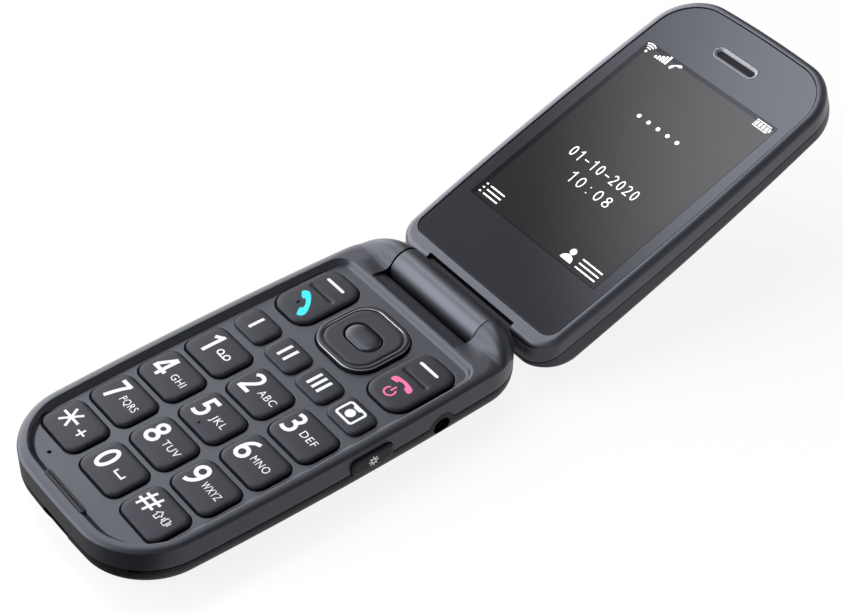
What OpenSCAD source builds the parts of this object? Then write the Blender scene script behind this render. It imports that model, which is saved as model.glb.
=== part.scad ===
// Clamshell phone, shown open: a keypad base and a display lid on a barrel hinge.
// Millimetres. Origin at the middle of the base's underside, +Y toward the hinge, +Z up.
// Lid pieces are drawn in the lid's own frame: origin on the hinge axis, Y along the lid,
// Z out of the display side. on_lid() turns them to the open angle.

/* [Base] */
// Width of the base at its widest
base_w = 54.2; // [53.6:0.2:56]
// Length of the base, rounded end to hinge end
base_l = 106; // [105:0.5:109]
// Height of the rim's crest above the underside
base_h = 11; // [10.8:0.1:11.6]
// Height of the seam between the front case and the battery cover
seam_z = 5.2; // [5:0.1:5.4]
// Corner radius of the rounded end
end_r = 15.5; // [14:0.5:17]
// Corner radius of the hinge end
hinge_end_r = 12; // [11.5:0.5:13]
// How far the sides draw in toward both ends
side_bow = 1.4; // [0.8:0.2:1.8]
// How far the corners of the rounded end fall back from its middle
end_bow = 1.2; // [0.6:0.2:1.6]
// How far the corners of the hinge end fall back from its middle
hinge_bow = 0.3; // [0.1:0.1:0.6]
// Wall thickness of the front case and the battery cover
wall = 1.3; // [1.1:0.1:1.4]
// Width of the rim's rounded outer slope
rim_slope = 2.6; // [2.2:0.1:2.8]
// Width of the rim's inner slope down to the keypad floor
rim_foot = 1.4; // [1.2:0.1:2]
// Drop from the rim's crest to the keypad floor
deck_drop = 1.4; // [1.2:0.1:1.5]
// Thickness of the keypad floor
deck_t = 1; // [0.9:0.05:1.1]
// Distance of the keypad recess's rear edge from the hinge axis
deck_back = 9.8; // [9.6:0.1:10.2]

/* [Keys] */
// Width of a number key in the middle column
key_w = 13.6; // [13:0.1:13.9]
// Length of a number key
key_l = 10.3; // [9.8:0.1:10.6]
// Gap between the columns of number keys
col_gap = 1.95; // [1.6:0.05:2.2]
// Spacing of the number key rows
row_pitch = 12.06; // [11.9:0.02:12.2]
// Distance of the lowest key row from the rounded end
first_row = 14.87; // [14.5:0.1:15.2]
// Distance of the outer keys' edges inside the base's sides
key_side = 4.3; // [4.2:0.1:4.6]
// Corner radius of the keys
key_r = 2.5; // [2:0.1:3]
// Width of a quick key
quick_w = 10.5; // [10:0.1:10.6]
// Length of a quick key
quick_l = 7.7; // [7.2:0.1:8]
// Spacing of the quick keys
quick_pitch = 11.5; // [11.4:0.05:11.6]
// Distance of the quick keys from the top row of number keys
quick_step = 11.3; // [11:0.1:11.6]
// Distance of the navigation ring and call keys from the top row of number keys
nav_step = 27.25; // [27:0.05:27.4]
// Width of the navigation ring
nav_w = 18.3; // [17.6:0.1:18.6]
// Length of the navigation ring
nav_l = 18; // [17.4:0.1:18.2]
// Width of the OK key
ok_w = 9.6; // [9:0.1:10]
// Length of the OK key
ok_l = 6; // [5.6:0.1:6.4]
// Width of the call and end keys
call_w = 12; // [11.6:0.1:12.2]
// Length of the call and end keys
call_l = 18; // [17.4:0.1:18.2]
// Distance of the call and end keys from the middle
call_x = 17; // [16.8:0.1:17.2]
// Rise of the keys above the keypad floor
key_rise = 1; // [0.8:0.05:1.1]
// Extra rise of the navigation ring
nav_rise = 0.2; // [0:0.05:0.3]
// Gap between a key and its window
key_gap = 0.2; // [0.15:0.05:0.25]
// Width of the lip that keeps a key under the keypad floor
key_lip = 0.38; // [0.3:0.02:0.4]
// Travel of a pressed key
key_travel = 0.4; // [0.3:0.05:0.45]
// Length of the volume key on the left side
volume_l = 17; // [15:0.5:18]
// Height of the volume key
volume_h = 2.8; // [2.4:0.1:3]
// Length of the torch key on the right side
torch_l = 10.8; // [10:0.2:11.6]
// Height of the torch key
torch_h = 4.1; // [3.8:0.1:4.2]
// How far the side keys stand out of the wall
side_proud = 0.8; // [0.6:0.1:1]

/* [Hinge] */
// Distance of the hinge axis from the hinge end
hinge_in = 4.8; // [4.8:0.05:5]
// Depth of the hinge axis below the rim's crest
hinge_drop = 2.1; // [2:0.05:2.2]
// Radius of the hinge barrel
barrel_r = 4.5; // [4.4:0.05:4.6]
// Length of the hinge barrel
barrel_l = 29.4; // [28.6:0.2:30]
// Gap round the barrel in the base
barrel_gap = 1; // [0.8:0.05:1.1]
// Gap between each end of the barrel and its shoulder
knuckle_gap = 0.2; // [0.15:0.05:0.3]
// Radius of the hinge pin
pin_r = 2; // [1.8:0.05:2.2]
// Running clearance of the hinge pin
pin_fit = 0.05; // [0.03:0.01:0.08]
// Radius of the detent cartridge in the barrel
cartridge_r = 3.3; // [3.2:0.05:3.4]
// Angle between the open lid and the base, past which a stop holds it
open_angle = 160.5; // [150:0.5:165]

/* [Lid] */
// Thickness of the lid at its far end
lid_t = 8.3; // [8.1:0.05:8.6]
// Extra thickness of the lid at the hinge axis
lid_taper = 2.4; // [2:0.1:2.6]
// How far the lid's hinge end leans back for each millimetre of depth
heel_lean = 0.45; // [0.4:0.01:0.46]
// Gap between the closed lid and the rim
close_gap = 0.65; // [0.6:0.05:0.8]
// Thickness of the lid frame at the sides
lid_frame_t = 4.55; // [4.4:0.05:4.6]
// Corner radius of the lid's hinge end
lid_hinge_r = 6; // [5.4:0.2:7]
// Corner radius of the lid's far end
lid_end_r = 11.5; // [11:0.5:13]
// Distance from the hinge axis to the lid's hinge end
lid_start = 5.4; // [5.3:0.05:5.6]
// Step from the lid's end lobes back to the edge over the barrel
lobe_step = 0.8; // [0.6:0.1:1]
// Wall thickness of the lid cover
lid_wall = 1.2; // [1.1:0.1:1.4]
// Distance of the lens edge inside the lid's sides
lens_side = 2.1; // [2.1:0.05:2.3]
// Distance from the hinge axis to the lens
lens_start = 9.1; // [9:0.1:9.6]
// Thickness of the lens
lens_t = 0.6; // [0.5:0.05:0.8]
// Depth of the lens face below the lid frame's face
lens_sink = 0.2; // [0.15:0.05:0.3]
// Width of the picture area
lcd_w = 43.2; // [42:0.2:44]
// Length of the picture area
lcd_l = 57.6; // [56:0.2:58.4]
// Distance from the hinge axis to the picture area
lcd_start = 24.8; // [24.4:0.1:25.2]
// Place of the earpiece between the picture and the lens's far end, as a share
ear_share = 0.461; // [0.45:0.001:0.47]
// Length of the earpiece bezel
ear_l = 13.6; // [12.8:0.2:14]
// Width of the earpiece bezel
ear_w = 3.7; // [3.4:0.1:4]
// Radius of the camera window
cam_r = 3.6; // [3.2:0.1:4]
// Side length of the torch lamp
lamp_w = 3.2; // [2.8:0.1:3.6]

/* [Inside] */
// Radius of the audio jack's hole, for a 3.5 mm plug
jack_r = 1.8; // [1.78:0.01:1.85]
// Distance of the jack from the hinge axis
jack_back = 22.1; // [21.9:0.1:22.3]
// Height of the jack above the underside
jack_z = 4.2; // [4.1:0.05:4.3]
// Depth of the jack's hole
jack_depth = 13; // [12:0.5:14]
// Width of the charging socket
usb_w = 9; // [8.6:0.1:9.4]
// Height of the charging socket
usb_h = 3.2; // [3:0.1:3.3]
// Width of the battery
battery_w = 34; // [32:0.5:36]
// Length of the battery
battery_l = 50; // [46:0.5:51]
// Thickness of the circuit boards
pcb_t = 0.8; // [0.6:0.1:0.9]
// Height of a dome switch
dome_h = 0.25; // [0.2:0.05:0.3]
// Radius of a dome switch
dome_r = 2.2; // [2:0.1:2.4]
// Radius of a screw's shank
screw_r = 0.7; // [0.6:0.05:0.8]
// Radius of a screw's head
screw_head_r = 1.4; // [1.2:0.05:1.5]

/* [Hidden] */
// Small overlap that keeps cuts clean, and the small gap between seated pieces
cut = 1;
seat = 0.05;
round_fn = 64;
corner_n = 9;
side_n = 10;
end_n = 6;
key_corner_n = 4;
least_r = 0.4;

// The layout is drawn for a base of this size, and stretches with its width and length
drawn_w = 54.2;
drawn_l = 106;
wide = base_w / drawn_w;
long = base_l / drawn_l;
fit_key_w = key_w * wide;
fit_col_gap = col_gap * wide;
fit_quick_w = quick_w * wide;
fit_quick_pitch = quick_pitch * wide;
fit_nav_w = nav_w * wide;
fit_ok_w = ok_w * wide;
fit_call_w = call_w * wide;
fit_call_x = call_x * wide;
fit_battery_w = battery_w * wide;
fit_lcd_w = lcd_w * wide;
fit_key_l = key_l * long;
fit_row_pitch = row_pitch * long;
fit_first_row = first_row * long;
fit_quick_l = quick_l * long;
fit_quick_step = quick_step * long;
fit_nav_step = nav_step * long;
fit_nav_l = nav_l * long;
fit_ok_l = ok_l * long;
fit_call_l = call_l * long;
fit_volume_l = volume_l * long;
fit_torch_l = torch_l * long;
fit_jack_back = jack_back * long;
fit_battery_l = battery_l * long;
fit_lcd_l = lcd_l * long;
fit_lcd_start = lcd_start * long;

// Hinge and lid placing
hinge_y = base_l / 2 - hinge_in;
hinge_z = base_h - hinge_drop;
shoulder_r = barrel_r + knuckle_gap;
shoulder_fillet = 2;
well_r = barrel_r + barrel_gap;
well_w = barrel_l + 2 * knuckle_gap;
lid_tilt = 180 - open_angle;
lid_face = -(hinge_drop + close_gap);
lid_seam = lid_face - lid_frame_t;
lid_l = hinge_y + base_l / 2;
lid_in = 0.1;
lid_w = base_w - 2 * lid_in;
back_lean = atan(lid_taper / lid_l);
lens_face = lid_face - lens_sink;
lens_back = lens_face - lens_t;
lens_far = lid_l - lens_side;
lcd_end = fit_lcd_start + fit_lcd_l;
plain_strip = lens_far - lcd_end;
ear_y = lcd_end + ear_share * plain_strip;
lens_end_r = 8.8;
lens_hinge_r = 3;
frame_plate_t = 0.9;
frame_under = lens_back - frame_plate_t;

// Levels inside the base, from the keypad floor down
deck_z = base_h - deck_drop;
deck_under = deck_z - deck_t;
key_top = deck_z + key_rise;
lip_gap = 0.1;
lip_t = 0.5;
lip_top = deck_under - lip_gap;
lip_bottom = lip_top - lip_t;
film_t = 0.15;
board_drop = 1.9;
pcb_top = deck_under - board_drop;
pcb_bottom = pcb_top - pcb_t;
film_top = pcb_top + film_t;
dome_top = film_top + dome_h;
mat_t = 0.45;
web_t = 0.5;
web_bottom = pcb_bottom - web_t;
plunger_r = 1.6;
plunger_bottom = dome_top + key_travel + seat;
floor_z = wall;
well_wall = 1.4;
cavity_end = hinge_y - well_r - well_wall;
jack_y = hinge_y - fit_jack_back;

// Key places, from the rounded end up
row_1 = -base_l / 2 + fit_first_row;
top_row = row_1 + 3 * fit_row_pitch;
quick_y = top_row + fit_quick_step;
nav_y = top_row + fit_nav_step;
col_inner = fit_key_w / 2 + fit_col_gap;
recess_hinge_r = 4;
nav_r = 6;
call_r = 4;
ok_r = 2.95;
quick_r = 2.2;
nav_top = key_top + nav_rise;
rock_lip_drop = 0.2;
rock_lip_top = lip_top - rock_lip_drop;
nav_lip_drop = 0.3;
nav_lip_top = lip_top - nav_lip_drop;
nav_lip_t = 0.4;
pad_in = 3.4;
pad_out = 5.4;
pad_t = 0.3;
pad_gap = 0.25;
ok_lift = 0.45;
ok_floor = nav_lip_top - nav_lip_t + ok_lift;
volume_up = 6.6;
volume_y = volume_up * long;
volume_lift = 2.4;
volume_z = seam_z + volume_lift;
torch_up = 7.1;
torch_y = torch_up * long;
torch_lift = 1.55;
torch_z = seam_z + torch_lift;

digit_names = ["star", "0", "hash", "7", "8", "9", "4", "5", "6", "1", "2", "3"];
number_nodes = [for (d = digit_names) str("key_", d)];
quick_nodes = ["quick_key_1", "quick_key_2", "quick_key_3", "camera_key"];
number_range = [0 : len(number_nodes) - 1];
quick_range = [0 : len(quick_nodes) - 1];

// Half width of the base's side at a given place along it
function side_x(y) = base_w / 2 - side_bow * pow(2 * y / base_l, 2);
// Outer edge of the outer number keys in a row
function key_edge(y) = side_x(y) - key_side;

// Points of a quarter turn and of a straight run between two points
function turn(c, r, a, n) = [for (i = [0 : n]) c + r * [cos(a + 90 * i / n), sin(a + 90 * i / n)]];
function run(p, q, n) = [for (i = [1 : n - 1]) p + (q - p) * i / n];

// Rounded rectangle from y0 to y1, drawn in by an inset, with r0 and r1 at its two ends
function plate(w, y0, y1, r0, r1, inset) =
    let (h = w / 2 - inset, a = y0 + inset, b = y1 - inset,
         s = max(least_r, r0 - inset), t = max(least_r, r1 - inset))
    concat(
        turn([h - s, a + s], s, -90, corner_n), run([h, a + s], [h, b - t], side_n),
        turn([h - t, b - t], t, 0, corner_n), run([h - t, b], [t - h, b], end_n),
        turn([t - h, b - t], t, 90, corner_n), run([-h, b - t], [-h, a + s], side_n),
        turn([s - h, a + s], s, 180, corner_n), run([s - h, a], [h - s, a], end_n));

// Bows the sides in toward both ends, and the corners back from the middle of each end
function bowed(p, far) =
    let (along = p.y / far, bow = along > 0 ? -end_bow : hinge_bow)
    [p.x * (1 - 2 * side_bow / base_w * pow(p.y / (base_l / 2), 2)),
     p.y + sign(far) * bow * pow(2 * p.x / base_w, 2) * pow(along, 2)];

function base_ring(inset) =
    [for (p = plate(base_w, -base_l / 2, base_l / 2, end_r, hinge_end_r, inset)) bowed(p, -base_l / 2)];
function deck_ring(inset) =
    [for (p = plate(base_w - 2 * rim_slope, rim_slope - base_l / 2, hinge_y - deck_back,
                    end_r - rim_slope, recess_hinge_r, inset)) bowed(p, -base_l / 2)];
// The lid lies over the base when closed, so its outline is the base's, turned end for end
function lid_place(p) = let (q = bowed([p.x, p.y - hinge_y], base_l / 2)) [q.x, q.y + hinge_y];
function lid_ring(inset, start = lid_start) =
    [for (p = plate(lid_w, start, lid_l, lid_hinge_r, lid_end_r, inset)) lid_place(p)];
// Hinge end of the lid at a given depth
function end_y(z) = lid_start - heel_lean * (lid_face - z);
// Depth of the lid's back: it tapers, and its heel lies flat along the ground when open
function taper_z(y) = lid_face - lid_t - lid_taper * (1 - y / lid_l);
function heel_z(y) = -(hinge_z - heel_gap + y * sin(lid_tilt)) / cos(lid_tilt);
function back_z(y) = max(taper_z(y), heel_z(y));
function lens_ring(inset) =
    [for (p = plate(lid_w - 2 * lens_side, lens_start, lens_far, lens_hinge_r, lens_end_r, inset))
        lid_place(p)];

function at(ring, z) = [for (p = ring) [p.x, p.y, z]];

// Solid through a stack of rings that all have the same number of points
module loft(rings) {
    n = len(rings[0]);
    last = (len(rings) - 1) * n;
    sides = [for (k = [0 : len(rings) - 2], i = [0 : n - 1])
        let (j = (i + 1) % n, a = k * n, b = a + n)
        each [[a + i, b + i, b + j], [a + i, b + j, a + j]]];
    bottom = [for (i = [0 : n - 1]) i];
    top = [for (i = [0 : n - 1]) last + n - 1 - i];
    polyhedron([for (r = rings) each r], concat([bottom, top], sides));
}

// Rounded rectangle with true arcs
module rounded(w, l, r) {
    square([w - 2 * r, l], center = true);
    square([w, l - 2 * r], center = true);
    for (x = [r - w / 2, w / 2 - r], y = [r - l / 2, l / 2 - r])
        translate([x, y]) circle(r, $fn = round_fn);
}

module slab(z0, z1) {
    translate([0, 0, z0]) linear_extrude(z1 - z0) children();
}

module box(x0, x1, y0, y1, z0, z1) {
    translate([x0, y0, z0]) cube([x1 - x0, y1 - y0, z1 - z0]);
}

module disc(x, y, r, z0, z1) {
    translate([x, y, z0]) cylinder(h = z1 - z0, r = r, $fn = round_fn);
}

// Round bar along X about a line at y, z
module bar(x0, x1, y, z, r) {
    translate([x0, y, z]) rotate([0, 90, 0]) cylinder(h = x1 - x0, r = r, $fn = round_fn);
}

module on_lid() {
    translate([0, hinge_y, hinge_z]) rotate([lid_tilt, 0, 0]) children();
}

// Frame on the lid's sloping back at the camera, Z into the lid
module on_back() {
    on_lid() translate([0, cam_y, taper_z(cam_y)]) rotate([back_lean, 0, 0]) children();
}

// Front case: its top rises from the rim into the two hinge shoulders
rim_side_drop = 0.8;
shoulder_rise = 9;
shoulder_slope = 7.5;
crown_insets = [0.1, 0.4, 0.9, 1.7, 2.8, 4.2, 6, 8, 10.6];

function smooth(t) = let (u = min(1, max(0, t))) u * u * (3 - 2 * u);
function near_hinge(y) = smooth((y - hinge_y + shoulder_rise) / shoulder_rise);
// Height of the crown along the base: rim, fillet, then the shoulder's round
fillet_z = base_h + shoulder_fillet;
fillet_y = hinge_y - sqrt(pow(shoulder_r + shoulder_fillet, 2) - pow(fillet_z - hinge_z, 2));
touch_y = fillet_y + (hinge_y - fillet_y) * shoulder_fillet / (shoulder_r + shoulder_fillet);
function crown(y) =
    y < fillet_y ? base_h :
    y < touch_y ? fillet_z - sqrt(pow(shoulder_fillet, 2) - pow(y - fillet_y, 2)) :
    hinge_z + sqrt(max(0, pow(shoulder_r, 2) - pow(y - hinge_y, 2)));
// Height at which the wall turns over into the crown
function turn_z(y) = base_h - rim_side_drop
    - (base_h - rim_side_drop - hinge_z) * smooth((y - hinge_y + shoulder_rise) / (shoulder_rise + hinge_in));
// Half width of the plan outline, with its rounded hinge corners
function plan_x(y) =
    let (k = y - base_l / 2 + hinge_end_r,
         h = k <= 0 ? base_w / 2 : base_w / 2 - hinge_end_r + sqrt(max(0, pow(hinge_end_r, 2) - k * k)))
    h * (1 - 2 * side_bow / base_w * pow(2 * y / base_l, 2));
function crown_point(p, inset) =
    let (k = near_hinge(p.y), slope = rim_slope + (shoulder_slope - rim_slope) * k,
         edge = p.y > 0 ? plan_x(p.y) - abs(p.x) : inset,
         t = min(1, max(0, edge / slope)), z0 = min(turn_z(p.y), crown(p.y)))
    [p.x, p.y, z0 + (crown(p.y) - z0) * sqrt(1 - pow(1 - t, 2))];

module front_case() {
    foot = base_ring(0);
    rings = concat(
        [at(foot, seam_z), [for (p = foot) [p.x, p.y, min(turn_z(p.y), crown(p.y))]]],
        [for (d = crown_insets) [for (p = base_ring(d)) crown_point(p, d)]]);
    color("dimgray") difference() {
        union() {
            difference() {
                loft(rings);
                keypad_recess();
                case_cavity();
            }
            for (p = screw_places) disc(p.x, p.y, boss_r, pcb_bottom, deck_under + seat);
        }
        for (p = screw_places) disc(p.x, p.y, screw_r, pcb_bottom - cut, deck_under - seat);
        barrel_well();
        well_ramp();
        key_windows();
        side_windows();
        jack_arch(jack_arch_r + seat);
        rest_slot();
        disc(mic_x, mic_y, mic_hole_r, deck_under - cut, deck_z + cut);
        bar(well_w / 2 - cut, pin_end, hinge_y, hinge_z, pin_r + pin_fit);
        intersection() {
            bar(-pin_end, cut - well_w / 2, hinge_y, hinge_z, cam_shaft_r + seat);
            box(-pin_end, 0, hinge_y - cam_flat - seat, hinge_y + cam_flat + seat, 0, 2 * base_h);
        }
    }
}

recess_levels = [[1, 0], [0.86, 0.04], [0.6, 0.25], [0.34, 0.65], [0.12, 0.9], [0, 1.03], [-0.1, 2]];
module keypad_recess() {
    loft([for (l = recess_levels) at(deck_ring(l[0] * rim_foot), deck_z + l[1] * deck_drop)]);
}

module case_cavity() {
    slab(seam_z - cut, deck_under) intersection() {
        polygon(base_ring(wall));
        translate([-base_w / 2, -base_l / 2]) square([base_w, base_l / 2 + cavity_end]);
    }
}

module barrel_well() {
    rear = base_l / 2 + cut;
    bar(-well_w / 2, well_w / 2, hinge_y, hinge_z, well_r);
    box(-well_w / 2, well_w / 2, hinge_y - well_r, rear, hinge_z, 2 * base_h);
    box(-well_w / 2, well_w / 2, hinge_y, rear, hinge_z - well_r, 2 * base_h);
}

ramp_in = 0.4;
ramp_lip = 0.7;
ramp_drop = 1.2;
ramp_edge = 1;
ramp_deep = 2.2;
module well_ramp() {
    top = base_h + cut;
    start = hinge_y - deck_back + ramp_in;
    lip = hinge_y - well_r - ramp_lip;
    translate([-well_w / 2, 0, 0]) rotate([90, 0, 90]) linear_extrude(well_w)
        polygon([[start, base_h], [lip, base_h - ramp_drop], [hinge_y - well_r + ramp_edge, base_h - ramp_deep],
                 [hinge_y, base_h - ramp_deep], [hinge_y, top], [start - seat, top]]);
}

module key_window(x, y, w, l, r) {
    translate([x, y]) slab(deck_under - cut, base_h + cut)
        rounded(w + 2 * key_gap, l + 2 * key_gap, r + key_gap);
}

module key_windows() {
    for (i = number_range) key_window(number_x(i), number_y(i), number_w(i), fit_key_l, key_r);
    for (i = quick_range) key_window(quick_x(i), quick_y, fit_quick_w, fit_quick_l, quick_r);
    for (s = [-1, 1]) key_window(s * fit_call_x, nav_y, fit_call_w, fit_call_l, call_r);
    key_window(0, nav_y, fit_nav_w, fit_nav_l, nav_r);
}

module side_windows() {
    half_l = fit_volume_l / 2 + key_gap;
    half_h = volume_h / 2 + key_gap;
    box(-base_w, wall + cut - base_w / 2, volume_y - half_l, volume_y + half_l,
        volume_z - half_h, volume_z + half_h);
    torch_window();
}

module torch_window() {
    half_l = fit_torch_l / 2 + key_gap;
    half_h = torch_h / 2 + key_gap;
    box(base_w / 2 - wall - cut, base_w, torch_y - half_l, torch_y + half_l,
        torch_z - half_h, torch_z + half_h);
}

module jack_arch(r) {
    bar(jack_face - cut, base_w, jack_y, jack_z, r);
}

module rest_slot() {
    translate([0, rest_y]) slab(rest_z, base_h + cut)
        rounded(rest_l + 2 * seat, rest_w + 2 * seat, rest_w / 2);
}

// Number keys: the outer columns widen to follow the base's sides
function number_col(i) = i % 3 - 1;
function number_y(i) = row_1 + floor(i / 3) * fit_row_pitch;
function number_w(i) = number_col(i) == 0 ? fit_key_w : key_edge(number_y(i)) - col_inner;
function number_x(i) = number_col(i) * (col_inner + key_edge(number_y(i))) / 2;
function quick_x(i) = (i - (len(quick_nodes) - 1) / 2) * fit_quick_pitch;

function cap_ring(w, l, r, inset, z) =
    let (h = w / 2 - inset, k = l / 2 - inset, s = r - inset)
    [for (q = concat(turn([h - s, s - k], s, -90, key_corner_n), turn([h - s, k - s], s, 0, key_corner_n),
                     turn([s - h, k - s], s, 90, key_corner_n), turn([s - h, s - k], s, 180, key_corner_n)))
        [q.x, q.y, z]];

// Pillowed key cap: drop below the top against inset from the edge
pillow = [[0, 0.55], [0.12, 0.25], [0.4, 0.08], [1.5, 0]];
module cap(w, l, r, z0, z1) {
    loft(concat([cap_ring(w, l, r, 0, z0)], [for (p = pillow) cap_ring(w, l, r, p[0], z1 - p[1])]));
}

module press_key(x, y, w, l, r) {
    translate([x, y]) {
        cap(w, l, r, lip_top - seat, key_top);
        slab(lip_bottom, lip_top) rounded(w + 2 * key_lip, l + 2 * key_lip, r + key_lip);
        disc(0, 0, plunger_r, plunger_bottom, lip_bottom + seat);
    }
}

module number_key(i) {
    color("darkslategray") press_key(number_x(i), number_y(i), number_w(i), fit_key_l, key_r);
}

module quick_key(i) {
    color("darkslategray") press_key(quick_x(i), quick_y, fit_quick_w, fit_quick_l, quick_r);
}

// Rocking key: soft-key half toward the hinge, call or end half below, a groove between them
groove_w = 0.7;
groove_l = 8;
groove_deep = 0.25;
rock_foot_in = 2.5;
rock_foot = fit_call_l / 2 - rock_foot_in;
module rocker_key(s) {
    color("darkslategray") translate([s * fit_call_x, nav_y]) {
        difference() {
            cap(fit_call_w, fit_call_l, call_r, rock_lip_top - seat, key_top);
            translate([0, groove_w]) slab(key_top - groove_deep, key_top + cut)
                rounded(groove_l, groove_w, groove_w / 2 - seat);
        }
        slab(rock_lip_top - lip_t, rock_lip_top)
            rounded(fit_call_w + 2 * key_lip, fit_call_l + 2 * key_lip, call_r + key_lip);
        for (y = [-rock_foot, rock_foot]) disc(0, y, plunger_r, plunger_bottom, rock_lip_top - lip_t + seat);
    }
}

// Navigation ring: raised band round a plate that holds the OK key
nav_band = 1.75;
nav_dish = 0.25;
module nav_ring() {
    low = nav_lip_top - nav_lip_t;
    color("slategray") translate([0, nav_y]) difference() {
        union() {
            cap(fit_nav_w, fit_nav_l, nav_r, nav_lip_top - seat, nav_top);
            slab(low, nav_lip_top) rounded(fit_nav_w + 2 * key_lip, fit_nav_l + 2 * key_lip, nav_r + key_lip);
        }
        slab(nav_top - nav_dish, nav_top + cut)
            rounded(fit_nav_w - 2 * nav_band, fit_nav_l - 2 * nav_band, nav_r - nav_band);
        slab(low - cut, nav_top + cut) rounded(fit_ok_w + 2 * key_gap, fit_ok_l + 2 * key_gap, ok_r + key_gap);
        disc(0, 0, pad_out + 2 * pad_gap, low - cut, low + pad_gap / 2);
    }
}

module ok_key() {
    color("slategray") translate([0, nav_y]) {
        cap(fit_ok_w, fit_ok_l, ok_r, ok_floor, nav_top);
        disc(0, 0, plunger_r, plunger_bottom, ok_floor + seat);
    }
}

// Rubber ring between the board and the navigation ring, on which it tilts
module nav_pad() {
    top = nav_lip_top - nav_lip_t - pad_gap / 2;
    color("black") difference() {
        disc(0, nav_y, pad_out, top - pad_t, top);
        disc(0, nav_y, pad_in, top - pad_t - cut, top + cut);
    }
}

module side_key(x0, x1, y, z, l, h) {
    translate([x0, y, z]) rotate([90, 0, 90]) linear_extrude(x1 - x0) rounded(l, h, h / 2 - seat);
}

side_lip = 0.7;
side_lip_t = 0.5;
side_lip_gap = 0.45;
volume_lip_h = 1.8;
torch_lip_h = 3.4;
side_reach = base_w / 2 + side_proud;
side_seat = side_x(volume_y + fit_volume_l / 2) - wall - side_lip_gap;
module volume_key() {
    color("darkslategray") {
        side_key(-side_reach, -side_seat, volume_y, volume_z, fit_volume_l, volume_h);
        side_key(-side_seat - seat, side_lip_t - side_seat, volume_y, volume_z,
                 fit_volume_l + 2 * side_lip, volume_lip_h);
    }
}

module torch_key() {
    color("darkslategray") {
        side_key(side_seat, side_reach, torch_y, torch_z, fit_torch_l, torch_h);
        side_key(side_seat - side_lip_t, side_seat + seat, torch_y, torch_z,
                 fit_torch_l + 2 * side_lip, torch_lip_h);
    }
}

// Rubber strip in the rim's end, on which the closed lid rests
rest_l = 14.6;
rest_w = 1.5;
rest_y = rim_slope + rest_w / 2 - base_l / 2;
rest_deep = 1.2;
rest_z = base_h - rest_deep;
module rest_strip() {
    color("black") translate([0, rest_y]) slab(rest_z, base_h + close_gap / 2)
        rounded(rest_l, rest_w, rest_w / 2 - seat);
}

// Battery cover: lower shell that wraps up to the seam
cover_levels = [[5.2, 0], [3.2, 0.2], [1.8, 0.75], [0.8, 1.7], [0.25, 2.9], [0, 4.2]];
module battery_cover() {
    color("dimgray") difference() {
        union() {
            loft(concat([for (l = cover_levels) at(base_ring(l[0]), l[1])], [at(base_ring(0), seam_z)]));
            intersection() {
                slab(seam_z - cut, base_h) polygon(base_ring(0));
                jack_arch(jack_arch_r);
            }
        }
        loft(concat([for (l = cover_levels) at(base_ring(l[0] + wall), l[1] + wall * (1 - l[1] / seam_z))],
                    [at(base_ring(wall), base_h)]));
        bar(jack_face - 2 * cut, base_w, jack_y, jack_z, jack_r + jack_wall + seat);
        barrel_well();
        torch_window();
        usb_window();
        pry_slit();
        speaker_slots();
    }
}

pry_l = 9;
pry_h = 0.6;
module pry_slit() {
    corner = end_r * (1 - cos(45));
    translate([base_w / 2 - corner, corner - base_l / 2, seam_z - pry_h / 2]) rotate([0, 0, 45])
        cube([2 * wall, pry_l, pry_h + seat], center = true);
}

usb_z = 3.4;
usb_face = 1.7 - base_l / 2;
usb_wall = 0.35;
usb_l = 7;
usb_window_l = 8;
module usb_window() {
    translate([0, -base_l / 2, usb_z]) rotate([90, 0, 0]) linear_extrude(usb_window_l, center = true)
        rounded(usb_w + 2 * key_gap, usb_h + 2 * key_gap, usb_h / 2);
}

module charging_socket() {
    color("silver") translate([0, usb_face, usb_z]) rotate([-90, 0, 0]) difference() {
        linear_extrude(usb_l) rounded(usb_w, usb_h, usb_h / 2 - seat);
        translate([0, 0, -cut]) linear_extrude(usb_l)
            rounded(usb_w - 2 * usb_wall, usb_h - 2 * usb_wall, usb_h / 2 - usb_wall - seat);
    }
}

// Sound slots of the loudspeaker in the cover's underside
speaker_back = 16.5;
speaker_y = hinge_y - speaker_back * long;
speaker_l = 15;
speaker_w = 11;
slot_n = 5;
slot_l = 11;
slot_w = 0.8;
slot_step = 1.9;
module speaker_slots() {
    for (i = [0 : slot_n - 1]) translate([0, speaker_y + (i - (slot_n - 1) / 2) * slot_step])
        slab(-cut, floor_z + cut) rounded(slot_l, slot_w, slot_w / 2 - seat);
}

module loudspeaker() {
    color("black") box(-speaker_l / 2, speaker_l / 2, speaker_y - speaker_w / 2, speaker_y + speaker_w / 2,
                       floor_z, web_bottom);
}

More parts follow.
